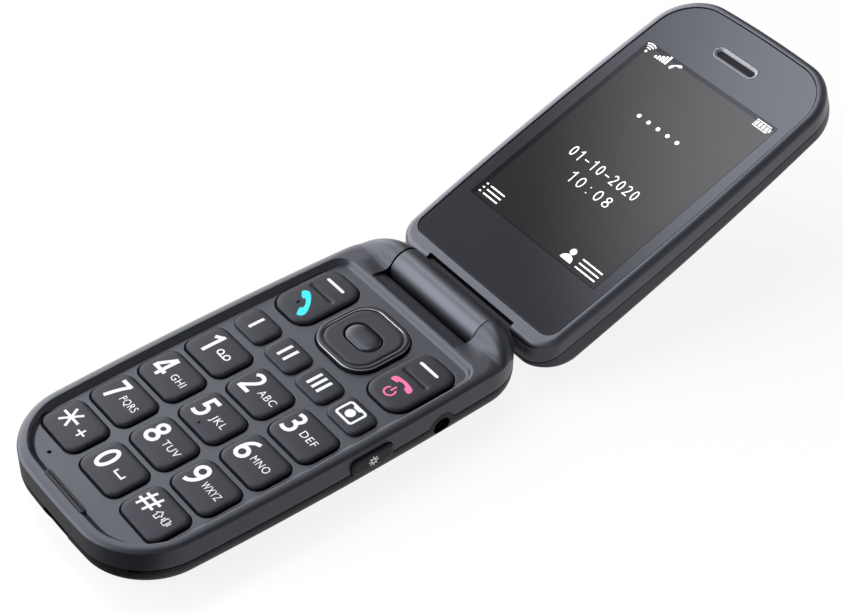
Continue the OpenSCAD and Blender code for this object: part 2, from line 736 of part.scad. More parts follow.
// Chassis: web under the board, walls round the battery bay and a cradle under the barrel
web_in = 3.1;
rail_t = 1;
rail_in = 4.4;
battery_in = 12.5;
battery_y = battery_in * long + (fit_battery_l - base_l) / 2;
cradle_w = 38;
rail_lift = 0.3;
rail_z = floor_z + rail_lift;
rail_end = cavity_end - seat - rail_in + web_in;
front_screw_side = 10.1;
front_screw_in = 7;
rear_screw_side = 4.77;
rear_screw_in = 3;
rear_screw_y = cavity_end - rear_screw_in;
front_screw = [base_w / 2 - front_screw_side, front_screw_in - base_l / 2];
rear_screw = [side_x(rear_screw_y) - rear_screw_side, rear_screw_y];
screw_places = [for (s = [-1, 1]) each [[s * front_screw.x, front_screw.y], [s * rear_screw.x, rear_screw.y]]];
boss_r = 1.8;
screw_bite = 1.2;
case_head_t = 0.8;
bay_x = (fit_battery_w + rail_t) / 2 + seat;
module chassis() {
    color("gray") difference() {
        union() {
            slab(web_bottom, pcb_bottom) web_outline(web_in);
            slab(rail_z, web_bottom + seat) difference() {
                web_outline(rail_in);
                web_outline(rail_in + rail_t);
            }
            for (x = [-bay_x, bay_x]) box(x - rail_t / 2, x + rail_t / 2, battery_y - fit_battery_l / 2,
                                          battery_y + fit_battery_l / 2, rail_z, web_bottom + seat);
            slab(rail_z, seam_z - seat) intersection() {
                polygon(base_ring(rail_in));
                translate([-cradle_w / 2, rail_end - rail_t]) square([cradle_w, base_l]);
            }
        }
        barrel_well();
        for (p = screw_places) disc(p.x, p.y, screw_r + seat, floor_z - cut, pcb_bottom + cut);
        for (p = screw_places) disc(p.x, p.y, screw_head_r + seat, floor_z - cut, web_bottom);
        jack_room();
        usb_room();
    }
}

module web_outline(inset) {
    intersection() {
        polygon(base_ring(inset));
        translate([-base_w / 2, -base_l / 2]) square([base_w, base_l / 2 + rail_end + rail_in - inset]);
    }
}

module case_screws() {
    color("silver") for (p = screw_places) {
        disc(p.x, p.y, screw_r - seat, web_bottom - seat, pcb_bottom + screw_bite);
        disc(p.x, p.y, screw_head_r, web_bottom - case_head_t, web_bottom);
    }
}

// Audio jack: a barrel socket in a block at the right side
jack_arch_r = 3.5;
jack_sink = 2.2;
jack_face = base_w / 2 - jack_sink;
jack_block = 5.4;
jack_h = 2.4;
jack_end_t = 1;
jack_nose = 3.4;
jack_wall = 0.35;
jack_in = jack_face - jack_depth - jack_end_t;
jack_room_l = jack_block + 4 * seat;
module jack_room() {
    box(jack_in - 2 * seat, base_w, jack_y - jack_room_l / 2, jack_y + jack_room_l / 2, 0, pcb_top + cut);
}

module audio_jack() {
    color("black") difference() {
        union() {
            box(jack_in, jack_face - jack_nose, jack_y - jack_block / 2, jack_y + jack_block / 2,
                jack_z - jack_block / 2, jack_z + jack_h);
            bar(jack_face - jack_nose - seat, jack_face, jack_y, jack_z, jack_r + jack_wall);
        }
        bar(jack_face - jack_depth, base_w, jack_y, jack_z, jack_r);
    }
}

module usb_room() {
    box(-usb_w / 2 - 2 * seat, usb_w / 2 + 2 * seat, -base_l / 2, usb_face + usb_l + 2 * seat,
        0, usb_z + usb_h / 2 + 2 * seat);
}

module battery() {
    color("darkgray") box(-fit_battery_w / 2, fit_battery_w / 2, battery_y - fit_battery_l / 2 + seat,
                          battery_y + fit_battery_l / 2 - seat, floor_z, web_bottom - seat);
}

contact_w = 9;
contact_l = 2.6;
contact_h = 2.6;
finger_pitch = 3;
finger_w = 1;
finger_h = 0.6;
module battery_contacts() {
    low = web_bottom - contact_h;
    color("gold") translate([0, battery_y + fit_battery_l / 2 + contact_l / 2]) {
        box(-contact_w / 2, contact_w / 2, -contact_l / 2, contact_l / 2, low, web_bottom);
        for (x = [-finger_pitch, 0, finger_pitch])
            box(x - finger_w / 2, x + finger_w / 2, -contact_l / 2, contact_l / 2, low - finger_h, low);
    }
}

// Main board with room for the screw bosses and the jack
board_in = 3.1;
module board_outline(inset) {
    difference() {
        intersection() {
            polygon(base_ring(inset));
            translate([-base_w / 2, -base_l / 2]) square([base_w, base_l / 2 + cavity_end - seat]);
        }
        for (p = screw_places) translate(p) circle(boss_r + key_gap, $fn = round_fn);
        translate([jack_in - 2 * seat, jack_y - jack_room_l / 2]) square([base_w, jack_room_l]);
    }
}

module main_board() {
    color("darkgreen") slab(pcb_bottom, pcb_top) board_outline(board_in);
}

nav_dome = 7;
dome_places = concat(
    [for (i = number_range) [number_x(i), number_y(i)]], [for (i = quick_range) [quick_x(i), quick_y]],
    [for (s = [-1, 1], y = [-rock_foot, rock_foot]) [s * fit_call_x, nav_y + y]],
    [[0, nav_y]], [for (a = [0 : 90 : 270]) [nav_dome * cos(a), nav_y + nav_dome * sin(a)]]);
film_in = 5.2;
module dome_sheet() {
    color("gainsboro") {
        slab(pcb_top, film_top) film_outline();
        for (p = dome_places) translate([p.x, p.y, film_top - seat])
            cylinder(h = dome_h + seat, r1 = dome_r, r2 = dome_r - 2 * dome_h, $fn = round_fn);
    }
}

module film_outline() {
    difference() {
        board_outline(film_in);
        translate([mic_x, mic_y]) circle(mic_r + key_gap, $fn = round_fn);
    }
}

nav_hole = 21;
module key_mat() {
    color("black") slab(film_top, film_top + mat_t) difference() {
        film_outline();
        for (p = dome_places) translate(p) circle(dome_r + 2 * key_gap, $fn = round_fn);
        translate([0, nav_y]) square(nav_hole, center = true);
    }
}

mic_side = 14.5;
mic_x = mic_side - base_w / 2;
mic_in = 6.9;
mic_y = mic_in - base_l / 2;
mic_r = 1.9;
mic_hole_r = 0.5;
module microphone() {
    color("silver") disc(mic_x, mic_y, mic_r, pcb_top, deck_under);
}

// Metal can over the radio parts, under the board's web, beside the jack
can_w = 17;
can_l = 9;
can_h = 1.6;
can_t = 0.3;
can_back = 28.5;
can_y = hinge_y - can_back * long;
can_side = rail_in + rail_t + 2 * key_gap;
can_x = can_side + can_w / 2 - side_x(can_y + can_l / 2);
module shield_can() {
    color("silver") translate([can_x, can_y]) difference() {
        slab(web_bottom - can_h, web_bottom) square([can_w, can_l], center = true);
        slab(web_bottom - can_h + can_t, web_bottom + cut)
            square([can_w - 2 * can_t, can_l - 2 * can_t], center = true);
    }
}

sim_w = 14.5;
sim_l = 9;
sim_h = 1.4;
sim_t = 0.3;
sim_edge = 0.8;
module sim_holder() {
    top = web_bottom - can_h;
    color("silver") translate([can_x, can_y]) difference() {
        slab(top - sim_h, top) square([sim_w, sim_l], center = true);
        slab(top - sim_h + sim_t, top - sim_t) translate([0, -sim_edge])
            square([sim_w - 2 * sim_edge, sim_l], center = true);
    }
}

motor_r = 4;
motor_step = 14;
motor_x = -motor_step * wide;
motor_h = 2.7;
module vibration_motor() {
    color("silver") disc(motor_x, speaker_y, motor_r, web_bottom - motor_h, web_bottom);
}

switch_w = 1;
switch_l = 4;
switch_h = 1.2;
switch_step = 6;
switch_x = side_seat - side_lip_t - key_travel - seat;
module side_switch(x, y) {
    translate([x, y, pcb_top + switch_h / 2]) cube([switch_w, switch_l, switch_h], center = true);
}

module side_switches() {
    x = switch_x - switch_w / 2;
    color("silver") {
        side_switch(x, torch_y);
        for (y = [-switch_step, switch_step]) side_switch(-x, volume_y + y);
    }
}

// Hinge: a keyed cam in the left shoulder, a plain pin in the right one
pin_cover = 2.24;
pin_reach = plan_x(hinge_y) - well_w / 2 - pin_cover;
pin_bite = 5.2;
pin_end = well_w / 2 + pin_reach;
pin_in = barrel_l / 2 - pin_bite;
cam_shaft_r = 2.4;
cam_flat = 1.7;
cam_t = 1.6;
cam_lobe = 0.6;
lobe_w = 1.4;
lobe_in = 0.9;
lobe_gap = 0.5;
tube_t = 0.4;
tube_in_r = cartridge_r - tube_t;
module hinge_pin() {
    color("silver") difference() {
        bar(pin_in, pin_end - seat, hinge_y, hinge_z, pin_r);
        bar(pin_in - cut, pin_end + cut, hinge_y, hinge_z, pin_r / 2);
    }
}

module hinge_cam() {
    disc_x = knuckle_gap - well_w / 2;
    color("silver") {
        intersection() {
            bar(seat - pin_end, disc_x + seat, hinge_y, hinge_z, cam_shaft_r);
            box(-pin_end, 0, hinge_y - cam_flat, hinge_y + cam_flat, 0, 2 * base_h);
        }
        bar(disc_x, disc_x + cam_t, hinge_y, hinge_z, tube_in_r - 2 * pin_fit);
        for (s = [-1, 1]) translate([disc_x + cam_t - seat, hinge_y, hinge_z]) rotate([90 + 90 * s, 0, 0])
            box(0, cam_lobe + seat, lobe_in, tube_in_r - lobe_gap, -lobe_w / 2, lobe_w / 2);
    }
}

// The cartridge, its spring and the cam follower ride in the barrel's left half
tube_end = -1.5;
tube_cap = 0.8;
follower_t = 2;
follower_x = knuckle_gap - well_w / 2 + cam_t + cam_lobe + 2 * seat;
spring_x = follower_x + follower_t;
spring_turns = 5;
wire_r = 0.35;
coil_gap = 0.15;
coil_r = tube_in_r - wire_r - coil_gap;
module hinge_cartridge() {
    color("silver") on_lid() difference() {
        bar(-barrel_l / 2, tube_end, 0, 0, cartridge_r - seat);
        bar(-barrel_l / 2 - cut, tube_end - tube_cap, 0, 0, tube_in_r);
    }
}

module hinge_follower() {
    color("goldenrod") on_lid() difference() {
        bar(follower_x, spring_x, 0, 0, tube_in_r - pin_fit);
        box(follower_x - cut, follower_x + cam_lobe, seat - lobe_in, lobe_in - seat, -tube_in_r, tube_in_r);
    }
}

// Coil spring as one swept tube
wire_n = 6;
steps_per_turn = 12;
function coil_point(t, x0, x1) =
    [x0 + (x1 - x0) * t, coil_r * cos(360 * spring_turns * t), coil_r * sin(360 * spring_turns * t)];
module hinge_spring() {
    n = spring_turns * steps_per_turn;
    x0 = spring_x + wire_r + seat;
    x1 = tube_end - tube_cap - wire_r - seat;
    rings = [for (i = [0 : n])
        let (t = i / n, c = coil_point(t, x0, x1), a = 360 * spring_turns * t)
        [for (k = [0 : wire_n - 1])
            let (b = -360 * k / wire_n)
            c + wire_r * (sin(b) * [1, 0, 0] + cos(b) * [0, cos(a), sin(a)])]];
    color("silver") on_lid() loft(rings);
}

// Lid frame: display-side shell with the barrel on its hinge end
frame_levels = [[0, 0.74], [0.2, 0.45], [0.6, 0.2], [1.2, 0.06], [1.9, 0]];
frame_edge = 1.8;
neck_top = -3.8;
neck_proud = 0.3;
flex_w = 6.4;
flex_x = 5.5;
flex_t = 0.25;
flex_gap = 0.1;
flex_in = 1.2;
flex_z = frame_under - flex_gap - flex_t;
flex_turn = -47;
module lid_frame() {
    color("dimgray") on_lid() difference() {
        union() {
            difference() {
                loft(concat([at(lid_ring(0, end_y(lid_seam)), lid_seam)],
                    [for (l = frame_levels)
                        let (z = lid_face - frame_edge * l[1]) at(lid_ring(l[0], end_y(z)), z)]));
                slab(lid_seam - cut, frame_under) polygon(lid_ring(lid_wall));
                box(-well_w / 2, well_w / 2, 0, lid_start + lobe_step, neck_top, 0);
            }
            neck();
            bar(-barrel_l / 2, barrel_l / 2, 0, 0, barrel_r);
        }
        slab(lens_back, 0) polygon(lens_ring(-seat));
        slab(frame_under - cut, 0) translate([0, fit_lcd_start + fit_lcd_l / 2])
            square([fit_lcd_w + 2 * glass_edge, fit_lcd_l + 2 * glass_edge], center = true);
        slab(frame_under - cut, 0) translate([0, ear_y]) rounded(ear_slot_l, ear_slot_w, ear_slot_w / 2 - seat);
        for (p = lid_screw_places) disc(p.x, p.y, screw_r + seat, frame_under - cut, 0);
        for (p = lid_screw_places) disc(p.x, p.y, screw_head_r + seat, lens_back - screw_head_t, 0);
        bar(-barrel_l / 2 - cut, tube_end + seat, 0, 0, cartridge_r);
        bar(pin_in - seat, barrel_l / 2 + cut, 0, 0, pin_r + pin_fit);
        bar(flex_x - flex_w / 2 - seat, flex_x + flex_w / 2 + seat, 0, 0, cartridge_r);
        flex_path(seat, lid_start + lid_wall + cut);
    }
}

module neck() {
    reach = lid_start + lid_wall;
    root_a = 40;
    side_a = 70;
    root = barrel_r * [sin(root_a), -cos(root_a)];
    side = barrel_r * [sin(side_a), -cos(side_a)];
    translate([-barrel_l / 2, 0, 0]) rotate([90, 0, 90]) linear_extrude(barrel_l)
        polygon([[0, 0], root, [end_y(lid_seam) - neck_proud, lid_seam], [reach, lid_seam],
                 [reach, neck_top], [side.x, neck_top], side]);
}

// Lid cover: outer shell, with screw bosses that meet the frame.
// Each level has its inset, its rise above the back and the place of its hinge end
heel_gap = 0.5;
heel_end = (lid_t + lid_taper - lid_face - (hinge_z - heel_gap) / cos(lid_tilt))
    / (tan(lid_tilt) + lid_taper / lid_l);
shell_levels = [[2.6, 0, 1.03 * heel_end], [1.4, 0.1, 0.7 * heel_end], [0.6, 0.45, 0.46 * heel_end],
                [0.15, 1.1, 0.325 * heel_end], [0, 1.9, 0.254 * heel_end]];
shell_inner = [for (i = [0 : len(shell_levels) - 2]) shell_levels[i]];
boss_sink = 0.3;
function shell_ring(l, deep) =
    [for (p = lid_ring(l[0] + deep, l[2])) [p.x, p.y, back_z(p.y) + l[1] + deep]];
cam_in = 9;
cam_y = lens_far - cam_in;
cam_block = 7;
lamp_step = 9;
lamp_x = lamp_step * wide;
near_screw_side = 6.5;
near_screw_in = 6;
far_screw_side = 8;
far_screw_share = 0.58;
near_screw = [lid_w / 2 - near_screw_side, lens_start + near_screw_in];
far_screw = [lid_w / 2 - far_screw_side, lcd_end + far_screw_share * plain_strip];
lid_screw_places = [for (s = [-1, 1]) each [[s * near_screw.x, near_screw.y], [s * far_screw.x, far_screw.y]]];
lid_boss_r = 1.7;
boss_floor = 0.4;
screw_head_t = 0.6;
module lid_cover() {
    color("dimgray") difference() {
        on_lid() cover_shell();
        on_back() disc(0, 0, cam_r + seat, -cut, lid_wall + cut);
        on_back() translate([lamp_x, 0]) slab(-cut, lid_wall + cut)
            rounded(lamp_w + 2 * seat, lamp_w + 2 * seat, lamp_r);
    }
}

module cover_shell() {
    difference() {
        union() {
            difference() {
                loft(concat([for (l = shell_levels) shell_ring(l, 0)],
                            [at(lid_ring(0, end_y(lid_seam)), lid_seam)]));
                loft(concat([for (l = shell_inner) shell_ring(l, lid_wall)],
                            [at(lid_ring(lid_wall, end_y(lid_seam)), lid_seam + cut)]));
            }
            for (p = lid_screw_places)
                disc(p.x, p.y, lid_boss_r, taper_z(p.y) + lid_wall - boss_sink, frame_under);
        }
        for (p = lid_screw_places)
            disc(p.x, p.y, screw_r, taper_z(p.y) + lid_wall + boss_floor, frame_under + cut);
    }
}

module lid_screws() {
    color("silver") on_lid() for (p = lid_screw_places) {
        disc(p.x, p.y, screw_r - seat, lid_seam, lens_back - screw_head_t + seat);
        disc(p.x, p.y, screw_head_r, lens_back - screw_head_t, lens_back - seat);
    }
}

// Lens with the earpiece opening
module display_lens() {
    color("black", 0.6) on_lid() slab(lens_back, lens_face) difference() {
        polygon(lens_ring(0));
        translate([0, ear_y]) rounded(ear_l, ear_w, ear_w / 2 - seat);
    }
}

// Display: glass that rises into the frame's window, on a metal-backed block
glass_edge = 0.5;
glass_gap = 0.1;
glass_drop = 0.2;
module_edge = 2;
module_t = 1.2;
module display_module() {
    w = fit_lcd_w + 2 * (glass_edge - glass_gap);
    l = fit_lcd_l + 2 * (glass_edge - glass_gap);
    color("darkslategray") on_lid() translate([0, fit_lcd_start + fit_lcd_l / 2]) {
        slab(frame_under - seat, lens_back - glass_drop) square([w, l], center = true);
        slab(frame_under - module_t, frame_under)
            square([fit_lcd_w + 2 * module_edge, fit_lcd_l + 2 * module_edge], center = true);
    }
}

// Board behind the display, with the flat cable's connector at its hinge end
lid_board_start = 11;
lid_board_gap = 4.2;
lid_board_end = cam_y - cam_block / 2 - lid_board_gap;
lid_board_x = near_screw.x - lid_boss_r - 2 * key_gap;
connector_y = 12;
connector_l = 4;
module lid_board() {
    top = frame_under - module_t;
    color("darkgreen") on_lid() {
        box(-lid_board_x, lid_board_x, lid_board_start, lid_board_end, top - pcb_t, top);
        box(flex_x - flex_w / 2, flex_x + flex_w / 2, connector_y, connector_y + connector_l,
            top - seat, flex_z);
    }
}

// Earpiece: bezel set in the lens, capsule under the frame
ear_slot_l = 10;
ear_slot_w = 2;
bezel_proud = 0.1;
module earpiece_bezel() {
    color("silver") on_lid() translate([0, ear_y]) slab(lens_back, lens_face + bezel_proud) difference() {
        rounded(ear_l - 2 * seat, ear_w - 2 * seat, ear_w / 2 - 2 * seat);
        rounded(ear_slot_l, ear_slot_w, ear_slot_w / 2 - seat);
    }
}

capsule_l = 15;
capsule_share = 0.36;
capsule_w = capsule_share * plain_strip;
capsule_t = 1.8;
capsule_r = 1.5;
module earpiece() {
    color("silver") on_lid() translate([0, ear_y]) slab(frame_under - capsule_t, frame_under)
        rounded(capsule_l, capsule_w, capsule_r);
}

// Camera and lamp on the lid's outer face
lamp_r = 0.6;
cam_edge = 0.8;
window_t = 0.8;
window_sink = 0.1;
window_in = window_sink + window_t;
snout = 0.6;
lamp_foot = 0.5;
module camera_window() {
    color("black") on_back() disc(0, 0, cam_r, window_sink, window_in);
}

module camera_module() {
    low = taper_z(cam_y + cam_block / 2) + lid_wall + seat;
    color("black") {
        on_lid() translate([0, cam_y]) slab(low, frame_under - capsule_t) square(cam_block, center = true);
        on_back() disc(0, 0, cam_r - cam_edge, window_in, lid_wall + snout);
    }
}

module torch_lamp() {
    color("white") on_back() translate([lamp_x, 0]) {
        slab(window_sink, lid_wall + seat) rounded(lamp_w, lamp_w, lamp_r);
        slab(lid_wall, lid_wall + lamp_foot) square(lamp_w + 2 * lamp_foot, center = true);
    }
}

// Flat cable that leaves the barrel through the neck to the lid board
module hinge_flex() {
    color("orange") on_lid() flex_path(0, connector_y + connector_l);
}

// Side view of the strip: up out of the barrel, then along the frame, with a mitred bend
function flex_line(off, reach) =
    let (along = [cos(flex_turn), sin(flex_turn)], out = [-along.y, along.x],
         bend = [flex_z / tan(flex_turn), flex_z])
    [flex_in * along + off * out, bend + off * [(along.x - 1) / along.y, 1], [reach, flex_z + off]];
module flex_path(room, reach) {
    low = flex_line(-room, reach);
    high = flex_line(flex_t + room, reach);
    w = flex_w + 2 * room;
    translate([flex_x - w / 2, 0, 0]) rotate([90, 0, 90]) linear_extrude(w)
        polygon([low[0], low[1], low[2], high[2], high[1], high[0]]);
}

front_case();
chassis();
battery_cover();
battery();
battery_contacts();
main_board();
dome_sheet();
key_mat();
shield_can();
sim_holder();
loudspeaker();
microphone();
vibration_motor();
audio_jack();
charging_socket();
side_switches();
case_screws();
rest_strip();
hinge_cam();
hinge_pin();
for (i = number_range) number_key(i);
for (i = quick_range) quick_key(i);
rocker_key(-1);  // call_key
rocker_key(1);  // end_key
nav_pad();
nav_ring();
ok_key();
volume_key();
torch_key();
lid_frame();
lid_cover();
display_lens();
display_module();
lid_board();
earpiece_bezel();
earpiece();
hinge_cartridge();
hinge_spring();
hinge_follower();
camera_module();
camera_window();
torch_lamp();
lid_screws();
hinge_flex();
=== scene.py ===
import math

import bmesh
import bpy
import numpy as np
from mathutils import Euler, Matrix, Vector

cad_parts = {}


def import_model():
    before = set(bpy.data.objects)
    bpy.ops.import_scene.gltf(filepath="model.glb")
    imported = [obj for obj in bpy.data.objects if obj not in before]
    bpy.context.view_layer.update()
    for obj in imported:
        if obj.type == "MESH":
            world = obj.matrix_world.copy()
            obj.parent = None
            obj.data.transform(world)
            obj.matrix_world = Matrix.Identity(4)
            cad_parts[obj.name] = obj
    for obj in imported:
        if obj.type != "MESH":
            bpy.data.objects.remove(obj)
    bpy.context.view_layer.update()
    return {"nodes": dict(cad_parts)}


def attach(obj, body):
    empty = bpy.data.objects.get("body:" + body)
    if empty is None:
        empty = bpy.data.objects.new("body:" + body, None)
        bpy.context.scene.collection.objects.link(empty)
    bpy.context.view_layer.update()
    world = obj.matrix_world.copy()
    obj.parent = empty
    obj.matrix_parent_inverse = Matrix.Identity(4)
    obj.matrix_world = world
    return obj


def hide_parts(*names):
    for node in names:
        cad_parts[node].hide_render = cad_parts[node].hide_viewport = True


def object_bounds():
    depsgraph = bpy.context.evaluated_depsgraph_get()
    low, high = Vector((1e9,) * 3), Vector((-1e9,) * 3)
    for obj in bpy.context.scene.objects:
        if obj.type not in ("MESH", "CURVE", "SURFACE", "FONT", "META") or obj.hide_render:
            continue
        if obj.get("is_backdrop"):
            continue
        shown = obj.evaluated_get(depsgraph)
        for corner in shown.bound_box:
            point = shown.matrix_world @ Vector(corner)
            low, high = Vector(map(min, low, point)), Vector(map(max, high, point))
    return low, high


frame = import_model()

NODES = frame["nodes"]
SCENE = bpy.context.scene
MM = 0.001

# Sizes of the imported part, in millimetres
BASE_W, BASE_L, BASE_H = 54.2, 106.0, 11.0
HALF_W, HALF_L = BASE_W / 2, BASE_L / 2
SEAM_Z, END_R, HINGE_END_R = 5.2, 15.5, 12.0
SIDE_BOW, END_BOW, HINGE_BOW = 1.4, 1.2, 0.3
WALL, DECK_Z, DECK_UNDER = 1.3, 9.6, 8.6
KEY_W, KEY_L, KEY_R, KEY_SIDE = 13.6, 10.3, 2.5, 4.3
COL_GAP, ROW_PITCH, ROW_1 = 1.95, 12.06, -38.13
QUICK_W, QUICK_L, QUICK_R, QUICK_PITCH, QUICK_Y = 10.5, 7.7, 2.2, 11.5, 9.35
NAV_W, NAV_L, NAV_R, NAV_Y = 18.3, 18.0, 6.0, 25.3
OK_W, OK_L, OK_R = 9.6, 6.0, 2.95
CALL_W, CALL_L, CALL_R, CALL_X = 12.0, 18.0, 4.0, 17.0
KEY_TOP, NAV_TOP, KEY_GAP, KEY_LIP = 10.6, 10.8, 0.2, 0.38
HINGE_Y, HINGE_Z, BARREL_R, BARREL_L = 48.2, 8.9, 4.5, 29.4
SHOULDER_R, WELL_R, WELL_W = 4.7, 5.5, 29.8
LID_TILT, LID_W, LID_START, LID_L = 19.5, 54.0, 5.4, 101.2
LID_FACE, LID_SEAM, LID_T, LID_TAPER, LID_WALL = -2.75, -7.3, 8.3, 2.4, 1.2
LID_HINGE_R, LID_END_R, HEEL_LEAN, HEEL_GAP = 6.0, 11.5, 0.45, 0.5
LENS_FACE, LENS_BACK, LENS_SIDE, LENS_START, LENS_FAR = -2.95, -3.55, 2.1, 9.1, 99.1
LCD_W, LCD_L, LCD_START = 43.2, 57.6, 24.8
EAR_Y, EAR_L, EAR_W = 90.1, 13.6, 3.7
JACK_Y, JACK_Z, JACK_IN, ARCH_R, JACK_HOLE_R = 26.1, 4.2, 23.9, 3.5, 2.2
VOLUME_Y, VOLUME_Z, VOLUME_L, VOLUME_H = 6.6, 7.6, 17.0, 2.8
TORCH_Y, TORCH_Z, TORCH_L, TORCH_H = 7.1, 6.75, 10.8, 4.1
SIDE_REACH, SIDE_SEAT = 27.9, 25.236
CAM_Y, CAM_R, LAMP_X, LAMP_W, LAMP_R = 90.1, 3.6, 9.0, 3.2, 0.6
MIC_X, MIC_IN, MIC_R = -12.6, 6.9, 0.5
REST_W, REST_L, REST_R, REST_IN, REST_Z = 14.6, 1.5, 0.7, 0.75, 9.8

# The scene's own forms: the recess's slopes, the seams' soft edges, the lens's far corners
RIM_SLOPE, SIDE_RIM, RIM_FOOT, DECK_BACK, DECK_R = 2.6, 2.0, 1.6, 9.8, 4.0
SEAM_GAP, CASE_SOFT, COVER_SOFT, LID_GAP, LID_SOFT = 0.06, 0.22, 0.2, 0.05, 0.18
LENS_R, LENS_END_R = 3.0, 10.2
OUTSIDE = 40.0

ON_LID = (Matrix.Translation((0, HINGE_Y * MM, HINGE_Z * MM))
          @ Matrix.Rotation(math.radians(LID_TILT), 4, "X"))


# Rings: outlines with the same number of points, so that any two can be joined

PLATE_COUNTS = (20, 40, 22)
KEY_COUNTS = (12, 8, 8)
LEAST_R = 0.4


def quarter(cx, cy, r, start, n):
    t = np.radians(start + 90 * np.arange(n + 1) / n)
    return np.c_[cx + r * np.cos(t), cy + r * np.sin(t)]


def straight(p, q, n):
    t = (np.arange(1, n) / n)[:, None]
    return np.asarray(p, float) + (np.asarray(q, float) - p) * t


def plate(w, y0, y1, r0, r1, inset, counts=PLATE_COUNTS):
    """Rectangle about X = 0 with corners of r0 at y0 and r1 at y1."""
    corner, side, end = counts
    h, a, b = w / 2 - inset, y0 + inset, y1 - inset
    s, t = max(LEAST_R, r0 - inset), max(LEAST_R, r1 - inset)
    return np.vstack([
        quarter(h - s, a + s, s, -90, corner), straight((h, a + s), (h, b - t), side),
        quarter(h - t, b - t, t, 0, corner), straight((h - t, b), (t - h, b), end),
        quarter(t - h, b - t, t, 90, corner), straight((-h, b - t), (-h, a + s), side),
        quarter(s - h, a + s, s, 180, corner), straight((s - h, a), (h - s, a), end)])


def bowed(p, far):
    """Plan bent to the phone's bowed sides and ends."""
    along = p[:, 1] / far
    bow = np.where(along > 0, -END_BOW, HINGE_BOW)
    x = p[:, 0] * (1 - 2 * SIDE_BOW / BASE_W * (p[:, 1] / HALF_L) ** 2)
    y = p[:, 1] + np.sign(far) * bow * (2 * p[:, 0] / BASE_W) ** 2 * along ** 2
    return np.c_[x, y]


def base_ring(inset):
    return bowed(plate(BASE_W, -HALF_L, HALF_L, END_R, HINGE_END_R, inset), -HALF_L)


def deck_ring(inset):
    return bowed(plate(BASE_W - 2 * SIDE_RIM, RIM_SLOPE - HALF_L, HINGE_Y - DECK_BACK, END_R - RIM_SLOPE,
                       DECK_R, inset), -HALF_L)


def lid_place(p):
    return bowed(p - [0, HINGE_Y], HALF_L) + [0, HINGE_Y]


def lid_ring(inset, start=LID_START):
    return lid_place(plate(LID_W, start, LID_L, LID_HINGE_R, LID_END_R, inset))


def lens_ring(inset):
    return lid_place(plate(LID_W - 2 * LENS_SIDE, LENS_START, LENS_FAR, LENS_R, LENS_END_R, inset))


def key_ring(x, y, w, l, r, inset):
    return plate(w, -l / 2, l / 2, r, r, inset, KEY_COUNTS) + [x, y]


def circle(r, n, x=0.0, y=0.0):
    a = np.radians(np.arange(n) * 360 / n)
    return np.c_[x + r * np.cos(a), y + r * np.sin(a)]


def at(ring, z):
    return np.c_[ring, np.broadcast_to(z, len(ring))]


def along_x(ring, x):
    return np.c_[np.full(len(ring), x), ring]


def end_y(z):
    """Hinge end of the lid at a given depth."""
    return LID_START - HEEL_LEAN * (LID_FACE - z)


def lid_level(inset, z):
    return at(lid_ring(inset, end_y(z)), z)


def taper_z(y):
    return LID_FACE - LID_T - LID_TAPER * (1 - y / LID_L)


def back_z(y):
    """Depth of the lid's back: it tapers, and its heel lies along the ground when the lid is open."""
    a = math.radians(LID_TILT)
    return np.maximum(taper_z(y), -(HINGE_Z - HEEL_GAP + y * math.sin(a)) / math.cos(a))


ON_BACK = (ON_LID @ Matrix.Translation((0, CAM_Y * MM, taper_z(CAM_Y) * MM))
           @ Matrix.Rotation(math.atan(LID_TAPER / LID_L), 4, "X"))


def side_x(y):
    return HALF_W - SIDE_BOW * (2 * y / BASE_L) ** 2


def smooth(t):
    u = np.clip(t, 0, 1)
    return u * u * (3 - 2 * u)


def softened(soft):
    """Insets and steps of a seam's softened edge, from the edge to the wall."""
    return [(soft, 0), (soft * 0.3, soft * 0.3), (0, soft)]


def curve_through(points, n, closed=False):
    """Smooth curve through the points, with n steps to each span."""
    p = np.asarray(points, float)
    before, after = (p[-1:], p[:2]) if closed else ([2 * p[0] - p[1]], [2 * p[-1] - p[-2]])
    ext = np.vstack([before, p, after])
    out = []
    for p0, p1, p2, p3 in zip(ext, ext[1:], ext[2:], ext[3:]):
        for t in np.linspace(0, 1, n, endpoint=False):
            out.append(0.5 * (2 * p1 + (p2 - p0) * t + (2 * p0 - 5 * p1 + 4 * p2 - p3) * t ** 2
                              + (3 * p1 - p0 - 3 * p2 + p3) * t ** 3))
    return np.array(out if closed else out + [p[-1]])


# Meshes

MERGE_DIST = 2e-6


def new_piece(name, verts, faces, place=None):
    mesh = bpy.data.meshes.new(name)
    mesh.from_pydata([tuple(v) for v in np.asarray(verts, float) * MM], [], faces)
    if place is not None:
        mesh.transform(place)
    obj = bpy.data.objects.new(name, mesh)
    SCENE.collection.objects.link(obj)
    return obj


def fix_normals(obj):
    bm = bmesh.new()
    bm.from_mesh(obj.data)
    bmesh.ops.recalc_face_normals(bm, faces=bm.faces)
    bm.to_mesh(obj.data)
    bm.free()
    return obj


def loft(rings, name="cutter", place=None, closed=False):
    """Skin over the rings, with end caps or closed on itself."""
    n, k = len(rings[0]), len(rings)
    faces = []
    for a in range(k if closed else k - 1):
        b = (a + 1) % k
        for i in range(n):
            j = (i + 1) % n
            faces.append((a * n + i, a * n + j, b * n + j, b * n + i))
    if not closed:
        faces.append(tuple(range(n - 1, -1, -1)))
        faces.append(tuple((k - 1) * n + i for i in range(n)))
    return fix_normals(new_piece(name, np.vstack(rings), faces, place))


